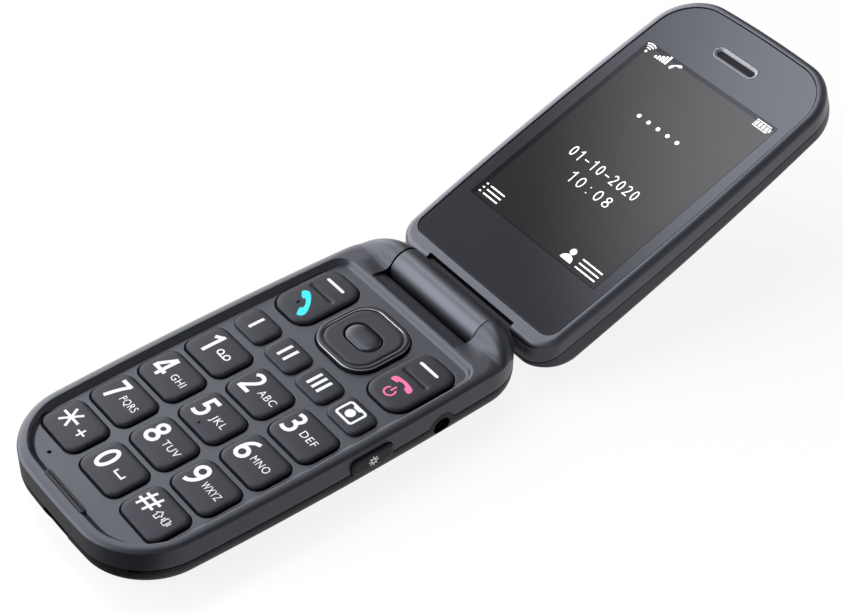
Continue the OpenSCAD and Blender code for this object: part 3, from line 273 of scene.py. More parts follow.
def tube(x0, x1, y, z, r, n=96, place=None, edge=0.0):
    """Round bar along X, with rounded end edges where edge is above 0."""
    steps = [(0, r)]
    if edge:
        turns = np.radians(np.linspace(0, 90, 6))[::-1]
        steps = [(edge * (1 - math.sin(v)), r - edge * (1 - math.cos(v))) for v in turns]
    rings = [along_x(circle(rr, n, y, z), x0 + dx) for dx, rr in steps]
    rings += [along_x(circle(rr, n, y, z), x1 - dx) for dx, rr in steps[::-1]]
    return loft(rings, place=place)


def drum(x, y, r, z0, z1, n=64, place=None):
    ring = circle(r, n, x, y)
    return loft([at(ring, z0), at(ring, z1)], place=place)


def block(x0, x1, y0, y1, z0, z1, name="cutter", place=None):
    ring = np.array([(x0, y0), (x1, y0), (x1, y1), (x0, y1)], float)
    return loft([at(ring, z0), at(ring, z1)], name, place)


def prism(profile, half, place=None):
    """Solid with a side view of (y, z) points, from -half to half along X."""
    return loft([along_x(np.array(profile), x) for x in (-half, half)], place=place)


def drop(obj):
    mesh = obj.data
    bpy.data.objects.remove(obj)
    bpy.data.meshes.remove(mesh)


def combine(op, target, others):
    """Boolean of the target with each other solid in turn; the others are used up."""
    for other in others:
        mod = target.modifiers.new("boolean", "BOOLEAN")
        mod.operation, mod.solver, mod.object = op, "EXACT", other
        bpy.context.view_layer.update()
        depsgraph = bpy.context.evaluated_depsgraph_get()
        mesh = bpy.data.meshes.new_from_object(target.evaluated_get(depsgraph))
        target.modifiers.clear()
        old, target.data = target.data, mesh
        bpy.data.meshes.remove(old)
        drop(other)
    return target


def cut(target, *others):
    return combine("DIFFERENCE", target, others)


def add(target, *others):
    return combine("UNION", target, others)


def clean(obj):
    bm = bmesh.new()
    bm.from_mesh(obj.data)
    bmesh.ops.remove_doubles(bm, verts=bm.verts, dist=MERGE_DIST)
    bmesh.ops.dissolve_degenerate(bm, edges=bm.edges, dist=MERGE_DIST / 2)
    bm.to_mesh(obj.data)
    bm.free()
    return obj


def join(objs):
    """Several separate cutters as one."""
    verts, faces, base = [], [], 0
    for o in objs:
        verts += [v.co / MM for v in o.data.vertices]
        faces += [tuple(i + base for i in p.vertices) for p in o.data.polygons]
        base += len(o.data.vertices)
        drop(o)
    return new_piece("cutter", verts, faces)


def dress(obj, body, finish, slot, *nodes, angle=32, weighted=True):
    """Shading and material of a piece, its body, and the solids that it replaces; the slot is not used."""
    mesh = obj.data
    mesh.polygons.foreach_set("use_smooth", [True] * len(mesh.polygons))
    mesh.set_sharp_from_angle(angle=math.radians(angle))
    if weighted:
        mod = obj.modifiers.new("weighted", "WEIGHTED_NORMAL")
        mod.keep_sharp = True
        mod.weight = 50
    mesh.materials.clear()
    mesh.materials.append(finish)
    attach(obj, body)
    if nodes:
        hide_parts(*nodes)
    return obj


# Materials, all made of nodes

def node(tree, kind, *links, **values):
    """New node with its inputs linked or set in order, and its settings made."""
    n = tree.nodes.new(kind)
    for k, v in values.items():
        setattr(n, k, v)
    for i, link in enumerate(links):
        if isinstance(link, bpy.types.NodeSocket):
            tree.links.new(link, n.inputs[i])
        else:
            n.inputs[i].default_value = link
    return n


def noise(tree, place, scale, detail):
    n = node(tree, "ShaderNodeTexNoise", place)
    n.inputs["Scale"].default_value = scale
    n.inputs["Detail"].default_value = detail
    return n.outputs["Fac"]


def material(name, color, rough=0.5, spec=0.5, vary=0.12, grain=0.0, grain_scale=9000.0, rough_vary=0.08,
             metal=0.0, scale=60.0, sheen_tint=(0.80, 0.83, 1.0)):
    """Surface whose colour and roughness drift a little, with a fine bump where it has a grain."""
    m = bpy.data.materials.new(name)
    m.use_nodes = True
    t = m.node_tree
    shader = t.nodes["Principled BSDF"].inputs
    shader["Specular IOR Level"].default_value = spec
    shader["Metallic"].default_value = metal
    if not metal:
        shader["Specular Tint"].default_value = (*sheen_tint, 1)
    place = node(t, "ShaderNodeTexCoord").outputs["Object"]
    cloud = noise(t, place, scale, 4)
    ramp = node(t, "ShaderNodeValToRGB", cloud)
    for stop, position, k in zip(ramp.color_ramp.elements, (0.3, 0.7), (1 - vary, 1 + vary)):
        stop.position = position
        stop.color = (*(min(1, c * k) for c in color), 1)
    t.links.new(ramp.outputs["Color"], shader["Base Color"])
    span = node(t, "ShaderNodeMapRange", cloud, 0.0, 1.0, max(0.02, rough - rough_vary),
                min(1, rough + rough_vary))
    t.links.new(span.outputs["Result"], shader["Roughness"])
    if grain:
        bump = node(t, "ShaderNodeBump")
        bump.inputs["Strength"].default_value = grain
        bump.inputs["Distance"].default_value = 0.00005
        t.links.new(noise(t, place, grain_scale, 2), bump.inputs["Height"])
        t.links.new(bump.outputs["Normal"], shader["Normal"])
    return m


def glow(name, color, strength):
    """Printed marks and the lit screen picture: a colour that also shines. The screen's shine is its
    backlight; on the printed marks the shine is painted glow.
    """
    m = material(name, color, rough=0.45, vary=0.02)
    shader = m.node_tree.nodes["Principled BSDF"].inputs
    shader["Emission Color"].default_value = (*color, 1)
    shader["Emission Strength"].default_value = strength
    return m


def paint(name, color, rough, spec):
    return material(name, color, rough, spec, vary=0.1, grain=0.3, grain_scale=4200)


def glass(name, color, spec=0.5, vary=0.05, **more):
    return material(name, color, 0.05, spec, vary, rough_vary=0.01, **more)


GREY = (0.0125, 0.0132, 0.0162)
INK_WHITE = (0.76, 0.77, 0.78)
PAINT = paint("grained_paint", GREY, 0.37, 0.52)
# Dark paint of the lower shell; the notch behind the barrel also takes it as painted shade
SHELL = paint("lower_paint_and_notch_shade", (0.0035, 0.0035, 0.0042), 0.45, 0.18)
LID_PAINT = paint("lid_paint", GREY, 0.37, 0.76)
LID_SHELL = paint("lid_shell_paint", (0.0105, 0.0107, 0.0125), 0.42, 0.4)
DECK = material("deck_satin", (0.015, 0.016, 0.0205), 0.36, vary=0.08, grain=0.12, grain_scale=6000)
KEYCAP = material("keycap_satin", (0.012, 0.0126, 0.0156), 0.42, 0.25, 0.08, grain=0.08, grain_scale=7000)
SIDEKEY = material("side_key_rubber", (0.012, 0.012, 0.0135), 0.55, 0.3, 0.1, grain=0.1)
NAVPLATE = material("nav_plate", GREY, 0.4, 0.28, 0.06)
CHROME_DIM = material("nav_edge_line", (0.2, 0.203, 0.215), 0.3, vary=0.05, metal=1.0)
CHROME = material("nav_line", (0.62, 0.63, 0.66), 0.22, vary=0.05, metal=1.0)
GLOSS = material("ok_gloss", (0.008, 0.0083, 0.0105), 0.26, 0.42, 0.06, rough_vary=0.02)
# These inks shine: painted glow that makes the printed legends and signs brighter, the pink end key's ink too
INK = glow("legend_ink_painted_glow", INK_WHITE, 0.1)
SIDE_INK_PAINTED_GLOW = glow("side_ink_painted_glow", INK_WHITE, 0.55)
CYAN = glow("call_ink_painted_glow", (0.0, 0.66, 0.74), 0.18)
PINK = glow("end_ink", (0.83, 0.125, 0.31), 0.15)
LIT = glow("screen_white", (0.80, 0.81, 0.82), 0.8)
PRINT = glass("lens_print", (0.0125, 0.0127, 0.0145), 0.35)
SCREEN = glass("screen_glass", (0.0085, 0.0085, 0.009), 0.26, 0.06, sheen_tint=(0.86, 0.87, 0.9))
# Colour of the screen's dark border, also used as painted shade in its wide left and top margins
MARGIN = glass("screen_margin", (0.0008, 0.0008, 0.001), 0.2, 0.1)
CAM_GLASS = glass("camera_glass", (0.008, 0.008, 0.011), vary=0.2)
BLACK = material("dark_gap", (0.004, 0.004, 0.005), 0.7, 0.2, 0.2)
RUBBER = material("black_rubber", (0.012, 0.012, 0.013), 0.6, 0.3, 0.15, grain=0.2)
STEEL = material("plated_steel", (0.55, 0.56, 0.58), 0.3, vary=0.08, metal=1.0)
BEZEL = material("bezel_metal", (0.21, 0.215, 0.23), 0.3, 0.8, 0.06)
FRAME_PLASTIC = material("inner_plastic", (0.05, 0.05, 0.053), 0.55, vary=0.1)
CELL = material("battery_wrap", (0.06, 0.065, 0.075), 0.4, vary=0.08)
GOLD = material("contact_gold", (0.72, 0.52, 0.2), 0.3, vary=0.06, metal=1.0)
BOARD = material("solder_mask", (0.012, 0.085, 0.04), 0.4, vary=0.2, scale=900)
FILM = material("dome_film", (0.5, 0.52, 0.54), 0.35, vary=0.05)
BRASS = material("sintered_brass", (0.5, 0.36, 0.13), 0.45, vary=0.1, metal=1.0)
CABLE = material("flat_cable", (0.42, 0.17, 0.03), 0.4, vary=0.08)
LAMP = material("lamp_lens", (0.78, 0.76, 0.62), 0.15, vary=0.06, scale=1500)


# Camera, solved from the photograph

FOCAL_PX, IMAGE_W, SENSOR_W = 2092.44, 843, 36
EYE, TURN_DEG = (0.26623, -0.17120, 0.32466), (47.3097, -0.6473, 51.9894)


def place_camera():
    data = bpy.data.cameras.new("camera")
    data.sensor_fit, data.sensor_width = "HORIZONTAL", SENSOR_W
    data.lens = SENSOR_W * FOCAL_PX / IMAGE_W
    data.clip_start, data.clip_end = 0.01, 20
    obj = bpy.data.objects.new("camera", data)
    SCENE.collection.objects.link(obj)
    turn = Euler([math.radians(v) for v in TURN_DEG])
    obj.matrix_world = Matrix.Translation(EYE) @ turn.to_matrix().to_4x4()
    SCENE.camera = obj


place_camera()


# Layout of the keypad: place, width, length and corner of each key, by the name of its solid

QUICK_KEYS = ("quick_key_1", "quick_key_2", "quick_key_3", "camera_key")
ROCKERS = {"call_key": -CALL_X, "end_key": CALL_X}
NAV_BOX = (0, NAV_Y, NAV_W, NAV_L, NAV_R)
OK_BOX = (0, NAV_Y, OK_W, OK_L, OK_R)


def key_boxes():
    boxes = {}
    inner = KEY_W / 2 + COL_GAP
    for i, name in enumerate(["star", "0", "hash", "7", "8", "9", "4", "5", "6", "1", "2", "3"]):
        col, y = i % 3 - 1, ROW_1 + (i // 3) * ROW_PITCH
        edge = side_x(y) - KEY_SIDE
        w = KEY_W if col == 0 else edge - inner
        boxes[f"key_{name}"] = (col * (inner + edge) / 2, y, w, KEY_L, KEY_R)
    for i, name in enumerate(QUICK_KEYS):
        boxes[name] = ((i - 1.5) * QUICK_PITCH, QUICK_Y, QUICK_W, QUICK_L, QUICK_R)
    for name, x in ROCKERS.items():
        boxes[name] = (x, NAV_Y, CALL_W, CALL_L, CALL_R)
    return boxes


KEY_BOX = key_boxes()


# Base: the front case

FILLET_R = 2.0
FILLET_Z = BASE_H + FILLET_R
FILLET_Y = HINGE_Y - math.sqrt((SHOULDER_R + FILLET_R) ** 2 - (FILLET_Z - HINGE_Z) ** 2)
TOUCH_Y = FILLET_Y + (HINGE_Y - FILLET_Y) * FILLET_R / (SHOULDER_R + FILLET_R)
RISE, SHOULDER_SLOPE, SIDE_DROP = 9.0, 7.5, 0.8
VALLEY, VALLEY_START, VALLEY_LOW, VALLEY_END, VALLEY_SIDE = 0.55, 38.6, 42.5, 45.7, 6.0
CAVITY_END, CAVITY_WAVE = 41.3, 0.001
CROWN_STEPS, FOOT_STEPS, SIDE_STEPS = 56, 16, 4
REST_Y = RIM_SLOPE + REST_IN - HALF_L
REST_HOLE = (0, REST_Y, REST_W + 0.1, REST_L + 0.1, 0.79)
# Side view of the slope from the recess's rear crest down into the barrel's well
RAMP = [(38.55, 11.12), (38.9, 10.86), (39.4, 10.6), (40.0, 10.38), (41.0, 10.08), (41.8, 9.8), (42.4, 9.46),
        (42.9, 9.1), (43.5, 8.8), (48.2, 8.8), (48.2, 14.0), (38.4, 14.0)]
# Rounded upper edge of a key's opening: how far out, how far down
WINDOW_EDGE = [(0, 0.3), (0.03, 0.16), (0.09, 0.07), (0.18, 0.018), (0.3, -0.002), (0.3, -2.5)]
WINDOW_LOW = 7.4


def crown(y):
    """Height of the case along its length: flat, then a fillet, then the round shoulder."""
    fillet = FILLET_Z - np.sqrt(np.maximum(0, FILLET_R ** 2 - (y - FILLET_Y) ** 2))
    dome = HINGE_Z + np.sqrt(np.maximum(0, SHOULDER_R ** 2 - (y - HINGE_Y) ** 2))
    return np.where(y < FILLET_Y, BASE_H, np.where(y < TOUCH_Y, fillet, dome))


def turn_z(y):
    """Height at which the side wall turns into the rim."""
    top = BASE_H - SIDE_DROP
    return top - (top - HINGE_Z) * smooth((y - HINGE_Y + RISE) / (RISE + HALF_L - HINGE_Y))


def plan_x(y):
    """Half width of the base's outline."""
    k = y - HALF_L + HINGE_END_R
    corner = HALF_W - HINGE_END_R + np.sqrt(np.maximum(0, HINGE_END_R ** 2 - k * k))
    return np.where(k <= 0, HALF_W, corner) * (1 - 2 * SIDE_BOW / BASE_W * (2 * y / BASE_L) ** 2)


def crown_z(p, inset):
    """Height of the rim and the shoulders over the plan."""
    x, y = p[:, 0], p[:, 1]
    near = smooth((y - HINGE_Y + RISE) / RISE)
    slope = SIDE_RIM + (SHOULDER_SLOPE - SIDE_RIM) * near
    edge = np.where(y > 0, plan_x(y) - np.abs(x), inset)
    t = np.clip(np.where(y > 0, edge / slope, inset / RIM_SLOPE), 0, 1)
    z0 = np.minimum(turn_z(y), crown(y))
    down = smooth((y - VALLEY_START) / (VALLEY_LOW - VALLEY_START))
    up = smooth((y - VALLEY_LOW) / (VALLEY_END - VALLEY_LOW))
    valley = VALLEY * down * (1 - up) * (1 - smooth((np.abs(x) - WELL_W / 2) / VALLEY_SIDE))
    return z0 + (crown(y) - z0) * np.sqrt(1 - (1 - t) ** 2) - valley


def cavity():
    ring = base_ring(WALL)
    ring[:, 1] = np.minimum(ring[:, 1], CAVITY_END + CAVITY_WAVE * np.sin(np.arange(len(ring))))
    return loft([at(ring, SEAM_Z - 1), at(ring, DECK_UNDER)])


def well_cutter():
    rear, half = HALF_L + 1, WELL_W / 2
    return add(tube(-half, half, HINGE_Y, HINGE_Z, WELL_R),
               block(-half, half, HINGE_Y - WELL_R, rear, HINGE_Z, 30),
               block(-half, half, HINGE_Y, rear, HINGE_Z - WELL_R, 29))


def window(*box):
    rings = [at(key_ring(*box, -KEY_GAP), WINDOW_LOW)]
    rings += [at(key_ring(*box, -KEY_GAP - out), DECK_Z - down) for out, down in WINDOW_EDGE]
    return loft(rings)


def side_cutter(x0, x1, y, z, l, h, r):
    ring = key_ring(y, z, l + 2 * KEY_GAP, h + 2 * KEY_GAP, r, 0)
    return loft([along_x(ring, x) for x in (x0, x1)])


def volume_cutter():
    return side_cutter(-OUTSIDE, WALL + 1 - HALF_W, VOLUME_Y, VOLUME_Z, VOLUME_L, VOLUME_H, 1.2)


def torch_cutter():
    return side_cutter(HALF_W - WALL - 1, OUTSIDE, TORCH_Y, TORCH_Z, TORCH_L, TORCH_H, 1.7)


def case_top():
    """Skin from the seam up the wall, over the rim and down to the keypad floor."""
    b, e, d = base_ring(0), deck_ring(0), deck_ring(RIM_FOOT)
    low = SEAM_Z + SEAM_GAP
    wall = low + CASE_SOFT
    z0 = np.minimum(turn_z(b[:, 1]), crown(b[:, 1]))
    rings = [at(base_ring(inset), low + step) for inset, step in softened(CASE_SOFT)]
    rings += [np.c_[b, wall + (z0 - wall) * k / SIDE_STEPS] for k in range(1, SIDE_STEPS + 1)]
    for u in 1 - np.cos(np.radians(np.linspace(0, 90, CROWN_STEPS + 1)[1:])):
        p = b + (e - b) * u
        rings.append(np.c_[p, crown_z(p, RIM_SLOPE * u)])
    for v in np.linspace(0, 1, FOOT_STEPS + 1)[1:]:
        rings.append(at(e + (d - e) * v, BASE_H - (BASE_H - DECK_Z) * smooth(v)))
    obj = loft(rings, "front_case_skin")
    cut(obj, cavity(), well_cutter(), prism(RAMP, WELL_W / 2),
        join([window(*box) for box in (*KEY_BOX.values(), NAV_BOX)]), volume_cutter(), torch_cutter(),
        tube(JACK_IN, OUTSIDE, JACK_Y, JACK_Z, ARCH_R + 0.1),
        loft([at(key_ring(*REST_HOLE, 0), z) for z in (REST_Z, 13)]),
        drum(MIC_X, MIC_IN - HALF_L, MIC_R, 8, 12, 24))
    return clean(obj)


def inside(c, ring):
    x, y = c.x / MM, c.y / MM
    a, b = ring, np.roll(ring, -1, 0)
    cross = (a[:, 1] > y) != (b[:, 1] > y)
    with np.errstate(divide="ignore", invalid="ignore"):
        xs = (b[:, 0] - a[:, 0]) * (y - a[:, 1]) / (b[:, 1] - a[:, 1]) + a[:, 0]
    return bool((cross & (x < xs)).sum() % 2)


def paint_deck(obj):
    """The keypad floor takes the satin finish, the rim and shoulders keep the grained paint."""
    obj.data.materials.append(DECK)
    inner = deck_ring(0.25)
    near, far = inner[:, 1].min() * MM, inner[:, 1].max() * MM
    low, high = (DECK_UNDER + 0.1) * MM, (BASE_H - 0.16) * MM
    for face in obj.data.polygons:
        c = face.center
        if low < c.z < high and near < c.y < far and inside(c, inner):
            face.material_index = 1


paint_deck(dress(case_top(), "base", PAINT, "case", "front_case", angle=30))


# Base: the lower shell and the rest strip

# Insets and heights of the shell's rounded underside
COVER = [(5.2, 0), (3.2, 0.2), (1.8, 0.75), (0.8, 1.7), (0.25, 2.9), (0, 4.2)]
USB_BOX = (0, 3.4, 9.4, 3.6, 1.6)
SPEAKER_Y, SLOT_PITCH, SLOT_W, SLOT_L, SLOT_R, SLOTS = 31.7, 1.9, 11, 0.8, 0.39, 5
SLIT_W, SLIT_L, SLIT_LOW, SLIT_HIGH, SLIT_DOWN = 2.6, 9.0, -0.28, 0.35, 0.3
REST_LEVELS = [(0, REST_Z), (0, 11.0), (0.06, 11.2), (0.2, 11.29), (0.45, 11.32)]


def arch_solid():
    """The shell's arch that carries the audio socket's opening past the seam."""
    wall = loft([at(base_ring(0), SEAM_Z - 0.6), at(base_ring(0), BASE_H - 1)])
    return combine("INTERSECT", wall, [tube(22, OUTSIDE, JACK_Y, JACK_Z, ARCH_R)])


def slit_cutter():
    """Pry slit across the front right corner."""
    corner = END_R * (1 - math.cos(math.radians(45)))
    place = Matrix.Translation(((HALF_W - corner) * MM, (corner - HALF_L) * MM, (SEAM_Z - SLIT_DOWN) * MM))
    return block(-SLIT_W / 2, SLIT_W / 2, -SLIT_L / 2, SLIT_L / 2, SLIT_LOW, SLIT_HIGH,
                 place=place @ Matrix.Rotation(math.radians(45), 4, "Z"))


def speaker_slots():
    rows = [SPEAKER_Y + (i - SLOTS // 2) * SLOT_PITCH for i in range(SLOTS)]
    rings = [key_ring(0, y, SLOT_W, SLOT_L, SLOT_R, 0) for y in rows]
    return join([loft([at(ring, -1), at(ring, 3)]) for ring in rings])


def case_bottom():
    top = SEAM_Z - SEAM_GAP
    rings = [at(base_ring(max(0, i)), max(0, z)) for i, z in curve_through(COVER, 5)]
    rings += [at(base_ring(inset), top - step) for inset, step in softened(COVER_SOFT)[::-1]]
    inner = [at(base_ring(max(0, i) + WALL), max(0, z) + WALL * (1 - z / SEAM_Z))
             for i, z in curve_through(COVER, 3)]
    inner.append(at(base_ring(WALL), BASE_H))
    usb = key_ring(*USB_BOX, 0)
    obj = add(loft(rings, "lower_shell_skin"), arch_solid())
    cut(obj, loft(inner), tube(JACK_IN, OUTSIDE, JACK_Y, JACK_Z, JACK_HOLE_R, 48), well_cutter(),
        torch_cutter(), loft([np.insert(usb, 1, y, axis=1) for y in (-56, -50)]), speaker_slots(),
        slit_cutter())
    return clean(obj)


dress(case_bottom(), "base", SHELL, "lower_shell", "battery_cover", angle=30)
rest_rings = [at(key_ring(0, REST_Y, REST_W, REST_L, REST_R, i), z) for i, z in REST_LEVELS]
dress(loft(rest_rings, "rest_strip_skin"), "base", RUBBER, "silicone", "rest_strip")


# Keys: rounded edges as inset and drop

EDGE = [(0, 0.74), (0.03, 0.55), (0.1, 0.385), (0.21, 0.25), (0.37, 0.145), (0.58, 0.075), (0.85, 0.033),
        (1.2, 0.01), (1.6, 0.0)]
OK_EDGE = [(0, 0.75), (0.03, 0.55), (0.1, 0.4), (0.22, 0.28), (0.45, 0.17), (0.8, 0.09), (1.3, 0.035),
           (2.0, 0.008), (2.55, 0.0)]
NAV_EDGE = [(0, 0.6), (0.04, 0.42), (0.14, 0.26), (0.3, 0.12), (0.5, 0.04), (0.75, 0), (1.05, 0.02),
            (1.2, 0.08), (1.28, 0.22), (1.32, 0.45), (1.56, 0.45), (1.62, 0.3), (1.74, 0.2), (2.0, 0.14),
            (2.6, 0.12), (3.4, 0.16)]
NAV_HOLE = [(0, 3.8), (0, 0.5), (0.05, 0.34), (0.14, 0.24), (0.3, 0.155), (0.34, -1)]
SIDE_EDGE = [(0, 0.6), (0.04, 0.4), (0.14, 0.22), (0.3, 0.1), (0.55, 0.03), (0.9, 0)]
GROOVE = [(0.68, 0.24), (0.56, 0.22), (0.42, 0.16), (0.26, 0.08), (0.1, 0.02), (0.0, 0.0), (0.0, -0.4)]
PILLOW = 0.12
CAP_LIP_Z, ROCKER_LIP_Z, LIP_T = 8.5, 8.3, 0.5
PLUNGER_R, PLUNGER_Z, PLUNGER_N, ROCKER_FOOT = 1.6, 7.55, 32, 6.5
GROOVE_UP, GROOVE_W, GROOVE_L, GROOVE_R = 1.2, 8.6, 1.5, 0.74
NAV_LOW, NAV_LIP_Z, PAD_R, PAD_TOP = 7.8, 8.2, 5.9, 7.925
OK_LIP_Z, OK_LIP_T = 8.3, 0.05
SIDE_LIP_T, SIDE_LIP_OUT, SIDE_LIP_R, TORCH_FACE = 0.5, 1.4, 0.85, 27.865


def pillow(p, box):
    """Drop of a key's gently domed top."""
    x, y, w, l = box[:4]
    return PILLOW * (((p[:, 0] - x) / (w / 2)) ** 2 + ((p[:, 1] - y) / (l / 2)) ** 2)


def keycap(name, box, lip_z):
    """Domed cap on its lip."""
    rings = [at(key_ring(*box, -KEY_LIP), lip_z - LIP_T), at(key_ring(*box, -KEY_LIP), lip_z),
             at(key_ring(*box, 0), lip_z)]
    inner = [(i, 0) for i in np.arange(2.1, min(box[2:4]) / 2 - 0.45, 0.5)]
    for inset, down in EDGE + inner:
        p = key_ring(*box, inset)
        rings.append(np.c_[p, KEY_TOP - down - pillow(p, box)])
    return loft(rings, name)


def plunger(x, y, top):
    return drum(x, y, PLUNGER_R, PLUNGER_Z, top, PLUNGER_N)


def press_key(name, box):
    x, y = box[:2]
    return add(keycap(name, box, CAP_LIP_Z), plunger(x, y, CAP_LIP_Z - LIP_T + 0.05))


def rocker(name, box):
    """Cap with a foot under each half and a groove between them."""
    x, y = box[:2]
    feet = [plunger(x, y + d, ROCKER_LIP_Z - LIP_T + 0.05) for d in (-ROCKER_FOOT, ROCKER_FOOT)]
    groove = [at(key_ring(x, y + GROOVE_UP, GROOVE_W, GROOVE_L, GROOVE_R, i), KEY_TOP - d) for i, d in GROOVE]
    return cut(add(keycap(name, box, ROCKER_LIP_Z), *feet), loft(groove))


for key, box in KEY_BOX.items():
    form = rocker if key in ROCKERS else press_key
    name = key.replace("key_", "keycap_") if key.startswith("key_") else f"cap_{key}"
    dress(form(name, box), f"{key}_body", KEYCAP, "keycap", key)


def nav_level(inset, z):
    return at(key_ring(*NAV_BOX, inset), z)


def nav_ring():
    """Raised band, groove and inner plate round the opening for the OK key."""
    rings = [nav_level(-KEY_LIP, NAV_LOW), nav_level(-KEY_LIP, NAV_LIP_Z), nav_level(0, NAV_LIP_Z)]
    rings += [nav_level(inset, NAV_TOP - down) for inset, down in NAV_EDGE]
    hole = [at(key_ring(*OK_BOX, -KEY_GAP - out), NAV_TOP - down) for out, down in NAV_HOLE]
    return cut(loft(rings, "nav_ring_skin"), loft(hole), drum(0, NAV_Y, PAD_R, 7, PAD_TOP))


def nav_line(name, inset0, down0, inset1, down1, finish):
    """Thin bright line round the band."""
    a, b = nav_level(inset0, NAV_TOP - down0), nav_level(inset1, NAV_TOP - down1)
    mid, up = (a + b) / 2, np.array([0, 0, 0.03])
    dress(loft([a, mid + up, b, mid - 2 * up], name, closed=True), "nav_ring_body", finish, "nav_band")


def ok_key():
    rings = [at(key_ring(*OK_BOX, 0), z) for z in (OK_LIP_Z - OK_LIP_T, OK_LIP_Z)]
    rings += [at(key_ring(*OK_BOX, inset), NAV_TOP - down) for inset, down in OK_EDGE]
    return add(loft(rings, "ok_key_skin"), plunger(0, NAV_Y, OK_LIP_Z))


dress(nav_ring(), "nav_ring_body", NAVPLATE, "nav_band", "nav_ring", angle=50)
nav_line("nav_line_outer", 0.07, 0.36, 0.2, 0.2, CHROME_DIM)
nav_line("nav_line_inner", 1.2, 0.09, 1.29, 0.25, CHROME)
dress(ok_key(), "ok_key_body", GLOSS, "ok_cap", "ok_key")


def side_key(key, sign, y, z, l, h, r, reach, lip_h):
    """Key in a side wall, with a lip behind the wall."""
    lip = key_ring(y, z, l + SIDE_LIP_OUT, lip_h, SIDE_LIP_R, 0)
    rings = [along_x(lip, sign * (SIDE_SEAT - SIDE_LIP_T)), along_x(lip, sign * SIDE_SEAT),
             along_x(key_ring(y, z, l, h, r, 0), sign * SIDE_SEAT)]
    rings += [along_x(key_ring(y, z, l, h, r, inset), sign * (reach - down)) for inset, down in SIDE_EDGE]
    dress(loft(rings, f"{key}_skin"), f"{key}_body", SIDEKEY, "side_key", key)


side_key("volume_key", -1, VOLUME_Y, VOLUME_Z, VOLUME_L, VOLUME_H, 1.3, SIDE_REACH, 1.8)
side_key("torch_key", 1, TORCH_Y, TORCH_Z, TORCH_L, TORCH_H, 1.6, TORCH_FACE, 3.4)


# Lid

FRAME_WIDE, FRAME_TALL, FRAME_STEPS, FRAME_UNDER = 1.95, 1.38, 28, -4.45
LENS_SEAT = [(-0.12, 0.01), (-0.08, 0.04), (-0.05, 0.1), (-0.05, 1.2)]
# Side view of the notch behind the barrel
NOTCH_Z, NOTCH_START, NOTCH_END = -3.8, 4.2, 7.15
NOTCH = [(0, NOTCH_Z), (6.5, NOTCH_Z), (6.75, -3.55), (6.95, -3.1), (7.05, -2.8), (NOTCH_END, -2.6),
         (NOTCH_END, 0), (0, 0)]
NECK_ROOT, NECK_SIDE, NECK_REACH, NECK_PROUD = math.radians(40), math.radians(70), 1.2, 0.3
CARTRIDGE_R, CARTRIDGE_END, PIN_HOLE_R, PIN_START = 3.3, -1.45, 2.05, 9.45
BARREL_EDGE = 0.3
HEEL_END = ((LID_T + LID_TAPER - LID_FACE - (HINGE_Z - HEEL_GAP) / math.cos(math.radians(LID_TILT)))
            / (math.tan(math.radians(LID_TILT)) + LID_TAPER / LID_L))
# Inset, rise above the back and place of the hinge end as a share of the heel
SHELL_LEVELS = [(2.6, 0, 1.03), (1.4, 0.1, 0.7), (0.6, 0.45, 0.46), (0.15, 1.1, 0.325), (0, 1.9, 0.254)]


def barrel_place(a):
    return BARREL_R * math.sin(a), -BARREL_R * math.cos(a)


def neck_solid():
    reach, side = LID_START + NECK_REACH, barrel_place(NECK_SIDE)
    return prism([(0, 0), barrel_place(NECK_ROOT), (end_y(LID_SEAM) - NECK_PROUD, LID_SEAM),
                  (reach, LID_SEAM), (reach, NOTCH_Z), (side[0], NOTCH_Z), side], BARREL_L / 2, ON_LID)


def lid_frame():
    """Frame with a rolled rim, the notch, the neck and the hinge barrel."""
    e, half = lens_ring(-0.16), BARREL_L / 2
    low, roll = LID_SEAM + LID_GAP, LID_FACE - FRAME_TALL
    b = lid_ring(0, end_y(roll))
    rings = [lid_level(inset, low + step) for inset, step in softened(LID_SOFT)]
    rings += [lid_level(0, roll - 1.2), lid_level(0, roll)]
    dist = np.linalg.norm(e - b, axis=1)
    for u in 1 - np.cos(np.radians(np.linspace(0, 90, FRAME_STEPS + 1)[1:])):
        s = np.clip(u * dist / FRAME_WIDE, 0, 1)
        rings.append(np.c_[b + (e - b) * u, LID_FACE - FRAME_TALL * (1 - np.sqrt(1 - (1 - s) ** 2))])
    rings += [at(lens_ring(inset), LID_FACE - down) for inset, down in LENS_SEAT]
    hollow = lid_ring(LID_WALL)
    obj = cut(loft(rings, "lid_frame_skin", ON_LID), prism(NOTCH, WELL_W / 2, ON_LID))
    add(obj, neck_solid(), tube(-half, half, 0, 0, BARREL_R, 128, ON_LID, BARREL_EDGE))
    cut(obj, tube(-half - 1, CARTRIDGE_END, 0, 0, CARTRIDGE_R, 48, ON_LID),
        tube(PIN_START, half + 1, 0, 0, PIN_HOLE_R, 48, ON_LID),
        loft([at(hollow, LID_SEAM - 1), at(hollow, FRAME_UNDER)], place=ON_LID))
    return clean(obj)


def paint_notch_shade(obj):
    """The notch behind the barrel takes the lower shell's dark paint as painted shade, where the barrel and
    the lid shade it.
    """
    obj.data.materials.append(SHELL)
    to_lid = ON_LID.inverted()
    for face in obj.data.polygons:
        c = to_lid @ face.center / MM
        across = abs(c.x) < WELL_W / 2 and NOTCH_START < c.y < NOTCH_END - 0.05
        deep = NOTCH_Z - 0.1 < c.z < LID_FACE - 0.02
        if across and deep and math.hypot(c.y, c.z) > BARREL_R + 0.02:
            face.material_index = 1


paint_notch_shade(dress(lid_frame(), "lid", LID_PAINT, "lid_shell", "lid_frame", angle=30))


def shell_ring(level, deep=0.0):
    inset, rise, share = level
    p = lid_ring(max(0, inset) + deep, share * HEEL_END)
    return np.c_[p, back_z(p[:, 1]) + max(0, rise) + deep]


